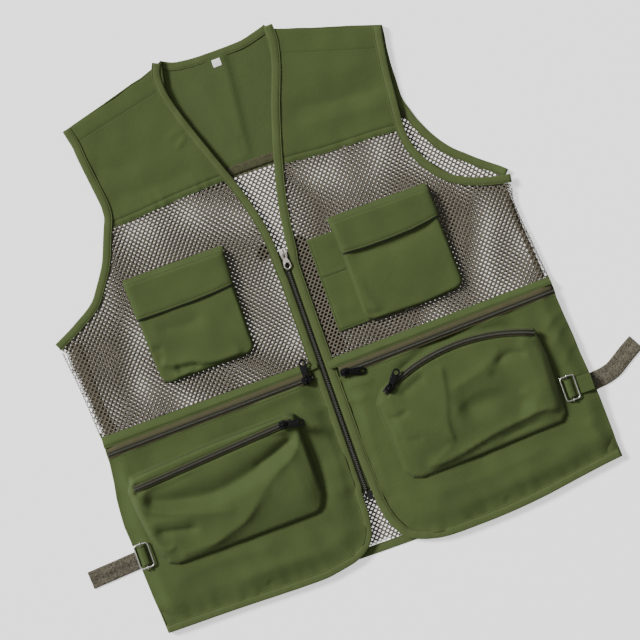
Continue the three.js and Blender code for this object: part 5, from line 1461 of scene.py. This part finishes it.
for side, (bx, by), rootx in (("right", R_BUCKLE, -283.6), ("left", L_BUCKLE, 290.4)):
    zc = 17.3
    b = Mesh()
    tube(b, [(bx + x, by + y, zc) for x, y in loop_rect(8.25, 14.4, 3.2)], 0.98, closed=True, sides=12)
    o = b.make(side + "_buckle_wire", [M_WIRE])
    root(o, side + "_adjuster_frame", "silver", side + "_buckle_frame")
    b = Mesh()
    tube(b, [(bx, by + y, zc) for y in np.linspace(-13.0, 13.0, 15)], 0.95, sides=12)
    for s in (-1, 1):
        c = by + s * 14.4
        tube(b, [(bx + math.cos(a) * 0.01, c + math.cos(a) * 1.75, zc + math.sin(a) * 1.75) for a in np.linspace(0, 2 * math.pi, 20, endpoint=False)], 0.72, closed=True, sides=10)
    o = b.make(side + "_buckle_centre_bar", [M_WIRE])
    root(o, side + "_adjuster", "silver", side + "_buckle_bar")
    # fabric loop round the bar, its tail sewn at the side
    out = 1 if rootx > bx else -1
    b = Mesh()
    ys = np.linspace(-11.2, 11.2, 15)
    line = [(-0.2, -2.7)]
    for k in range(13):
        a = -math.pi / 2 - math.pi * k / 12
        line.append((4.2 * math.cos(a) * 1.0, 2.6 * math.sin(a)))
    line += [(1.5, 2.5), (3.2, 1.7), (4.4, 0.2), (5.4, -1.3), (7.5, -1.75), (abs(rootx - bx), -1.75)]
    line = curved([(a, c) for a, c in line], 0.8, 80)
    nn = normals(line)
    outer_p, inner_p = line - nn * 0.28, line + nn * 0.28
    V, F = [], []
    k = len(line)
    for j, y in enumerate(ys):
        edge = 0.25 if j in (0, len(ys) - 1) else 0.0
        wob = 0.12 * math.sin(j * 1.3)
        for q, e in ((outer_p, edge), (inner_p, -edge)):
            for i in range(k):
                V.append((bx + out * q[i][0], by + y + 0.0, zc + q[i][1] + wob * 0.4))
    for j in range(len(ys) - 1):
        for i in range(k - 1):
            a = j * 2 * k + i
            c = (j + 1) * 2 * k + i
            F.append((a, a + 1, c + 1, c))
            F.append((a + k, c + k, c + k + 1, a + k + 1))
    for j in (0, len(ys) - 1):
        for i in range(k - 1):
            a = j * 2 * k + i
            F.append((a, a + k, a + k + 1, a + 1))
    for i in (0, k - 1):
        for j in range(len(ys) - 1):
            a, c = j * 2 * k + i, (j + 1) * 2 * k + i
            F.append((a, c, c + k, a + k))
    b.add(V, F, 0)
    stitches(b, [(bx + out * 1.2, by - 9.8), (bx + out * 1.2, by + 9.8)], lambda x, y: zc + 2.75 + 0 * x, 1, 2.6, 1.8, 0.4, 0.25)
    o = b.make(side + "_buckle_loop", CLOTH)
    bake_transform(o)
    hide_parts(side + "_buckle_tab")


# ================================================================ WAIST STRAPS
def strap(name, centre, width, s, seed, side, twist=None):
    """Net folded twice lengthways into a strap."""
    b = Mesh()
    hw = width / 2
    prof = [(-hw, -1.0), (-hw - 0.25, -0.1), (-hw + 0.3, 0.75), (-hw + 2, 1.0), (-hw * 0.4, 0.7), (-0.3, 0.95), (0.2, 0.55), (hw * 0.5, 0.85), (hw - 2, 1.05), (hw - 0.3, 0.75), (hw + 0.25, -0.1), (hw, -1.0), (0, -1.05)]
    r = np.random.RandomState(seed)
    sweep(b, curved(centre, 2.5), prof, lambda x, y: 1.25 + np.abs(waves(x, y, seed, 6.5, 0.28, n=9)) + waves(x, y, seed + 1, 22, 0.12), 0, step=1.6)
    stitches(b, shift(curved(centre, 3), hw - 2.4), lambda x, y: 2.2 + 0 * x, 1, 3.2, 2.0, 0.5, 0.3)
    stitches(b, shift(curved(centre, 3), -hw + 2.4), lambda x, y: 2.2 + 0 * x, 1, 3.2, 2.0, 0.5, 0.3)
    o = b.make(name, [M_STRAP, M_SEAMNET])
    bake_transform(o)
    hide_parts(side + "_waist_strap")


strap("right_waist_strap_web", [[-282, -223.6], [-295, -224.4], [-310, -225.6], [-328, -226.8], [-345.6, -228.0]], 21.0, -1, 45, "right")
strap("left_waist_strap_web", [[289, -204.6], [296, -203.4], [308, -202], [320, -198.6], [331, -192], [343, -184.4], [356.4, -176.8]], 21.0, 1, 47, "left")


# ================================================================ CAD PIECES THAT STAY
keep = {"right_chest_hook_patch": M_HOOK, "left_chest_hook_patch": M_HOOK, "right_chest_loop_patch": M_HOOK, "left_chest_loop_patch": M_HOOK, "main_zip_pin": M_COIL, "main_zip_box": M_COIL}
for n, m in keep.items():
    ob = N[n]
    ob.data.materials.clear()
    ob.data.materials.append(m)
    if n.startswith("main_zip"):
        bv = ob.modifiers.new("round", "BEVEL")
        bv.width = 0.0004
        bv.segments = 2
shown = [n for n, ob in N.items() if not ob.hide_render]
print("CAD nodes still shown:", shown)


# ================================================================ FLOOR, LIGHT, CAMERA
bpy.ops.mesh.primitive_plane_add(size=6, location=(0, 0, -0.0002))
floor = bpy.context.object
floor.name = "floor"
floor.data.materials.append(M_FLOOR)
M_FLOOR.node_tree.nodes["Principled BSDF"].inputs["Emission Color"].default_value = (1, 1, 1, 1)
M_FLOOR.node_tree.nodes["Principled BSDF"].inputs["Emission Strength"].default_value = FLOOR_GLOW

world_node = bpy.data.worlds.new("studio")
bpy.context.scene.world = world_node
world_node.use_nodes = True
world_node.node_tree.nodes["Background"].inputs["Color"].default_value = (1.0, 1.0, 1.0, 1)
world_node.node_tree.nodes["Background"].inputs["Strength"].default_value = WORLD


def area_light(name, where, aim, size, power, colour=(1, 1, 1)):
    l = bpy.data.lights.new(name, "AREA")
    l.shape = "DISK"
    l.size = size
    l.energy = power
    l.color = colour
    ob = bpy.data.objects.new(name, l)
    ob.location = where
    ob.rotation_euler = (Vector(aim) - Vector(where)).to_track_quat("-Z", "Y").to_euler()
    bpy.context.scene.collection.objects.link(ob)
    return ob


sun = bpy.data.lights.new("key", "SUN")
sun.energy = KEY
sun.angle = 0.28
sun_object = bpy.data.objects.new("key", sun)
sun_object.rotation_euler = Vector((1.25, -1.15, -1.32)).to_track_quat("-Z", "Y").to_euler()
bpy.context.scene.collection.objects.link(sun_object)
area_light("top", (-0.2, 0.3, 2.6), (0, 0, 0), 1.6, TOP)

cam_data = bpy.data.cameras.new("camera")
cam = bpy.data.objects.new("camera", cam_data)
bpy.context.scene.collection.objects.link(cam)
cam_data.lens = 100.0
cam_data.sensor_width = 36.0
cam_data.clip_end = 20.0
centre = Vector((0.0047, -0.0306, 0.010))
dist = 0.377 * cam_data.lens / (cam_data.sensor_width / 2)
cam.location = centre + Vector((0, 0, dist))
cam.rotation_euler = (0, 0, math.radians(-19.5))
bpy.context.scene.camera = cam
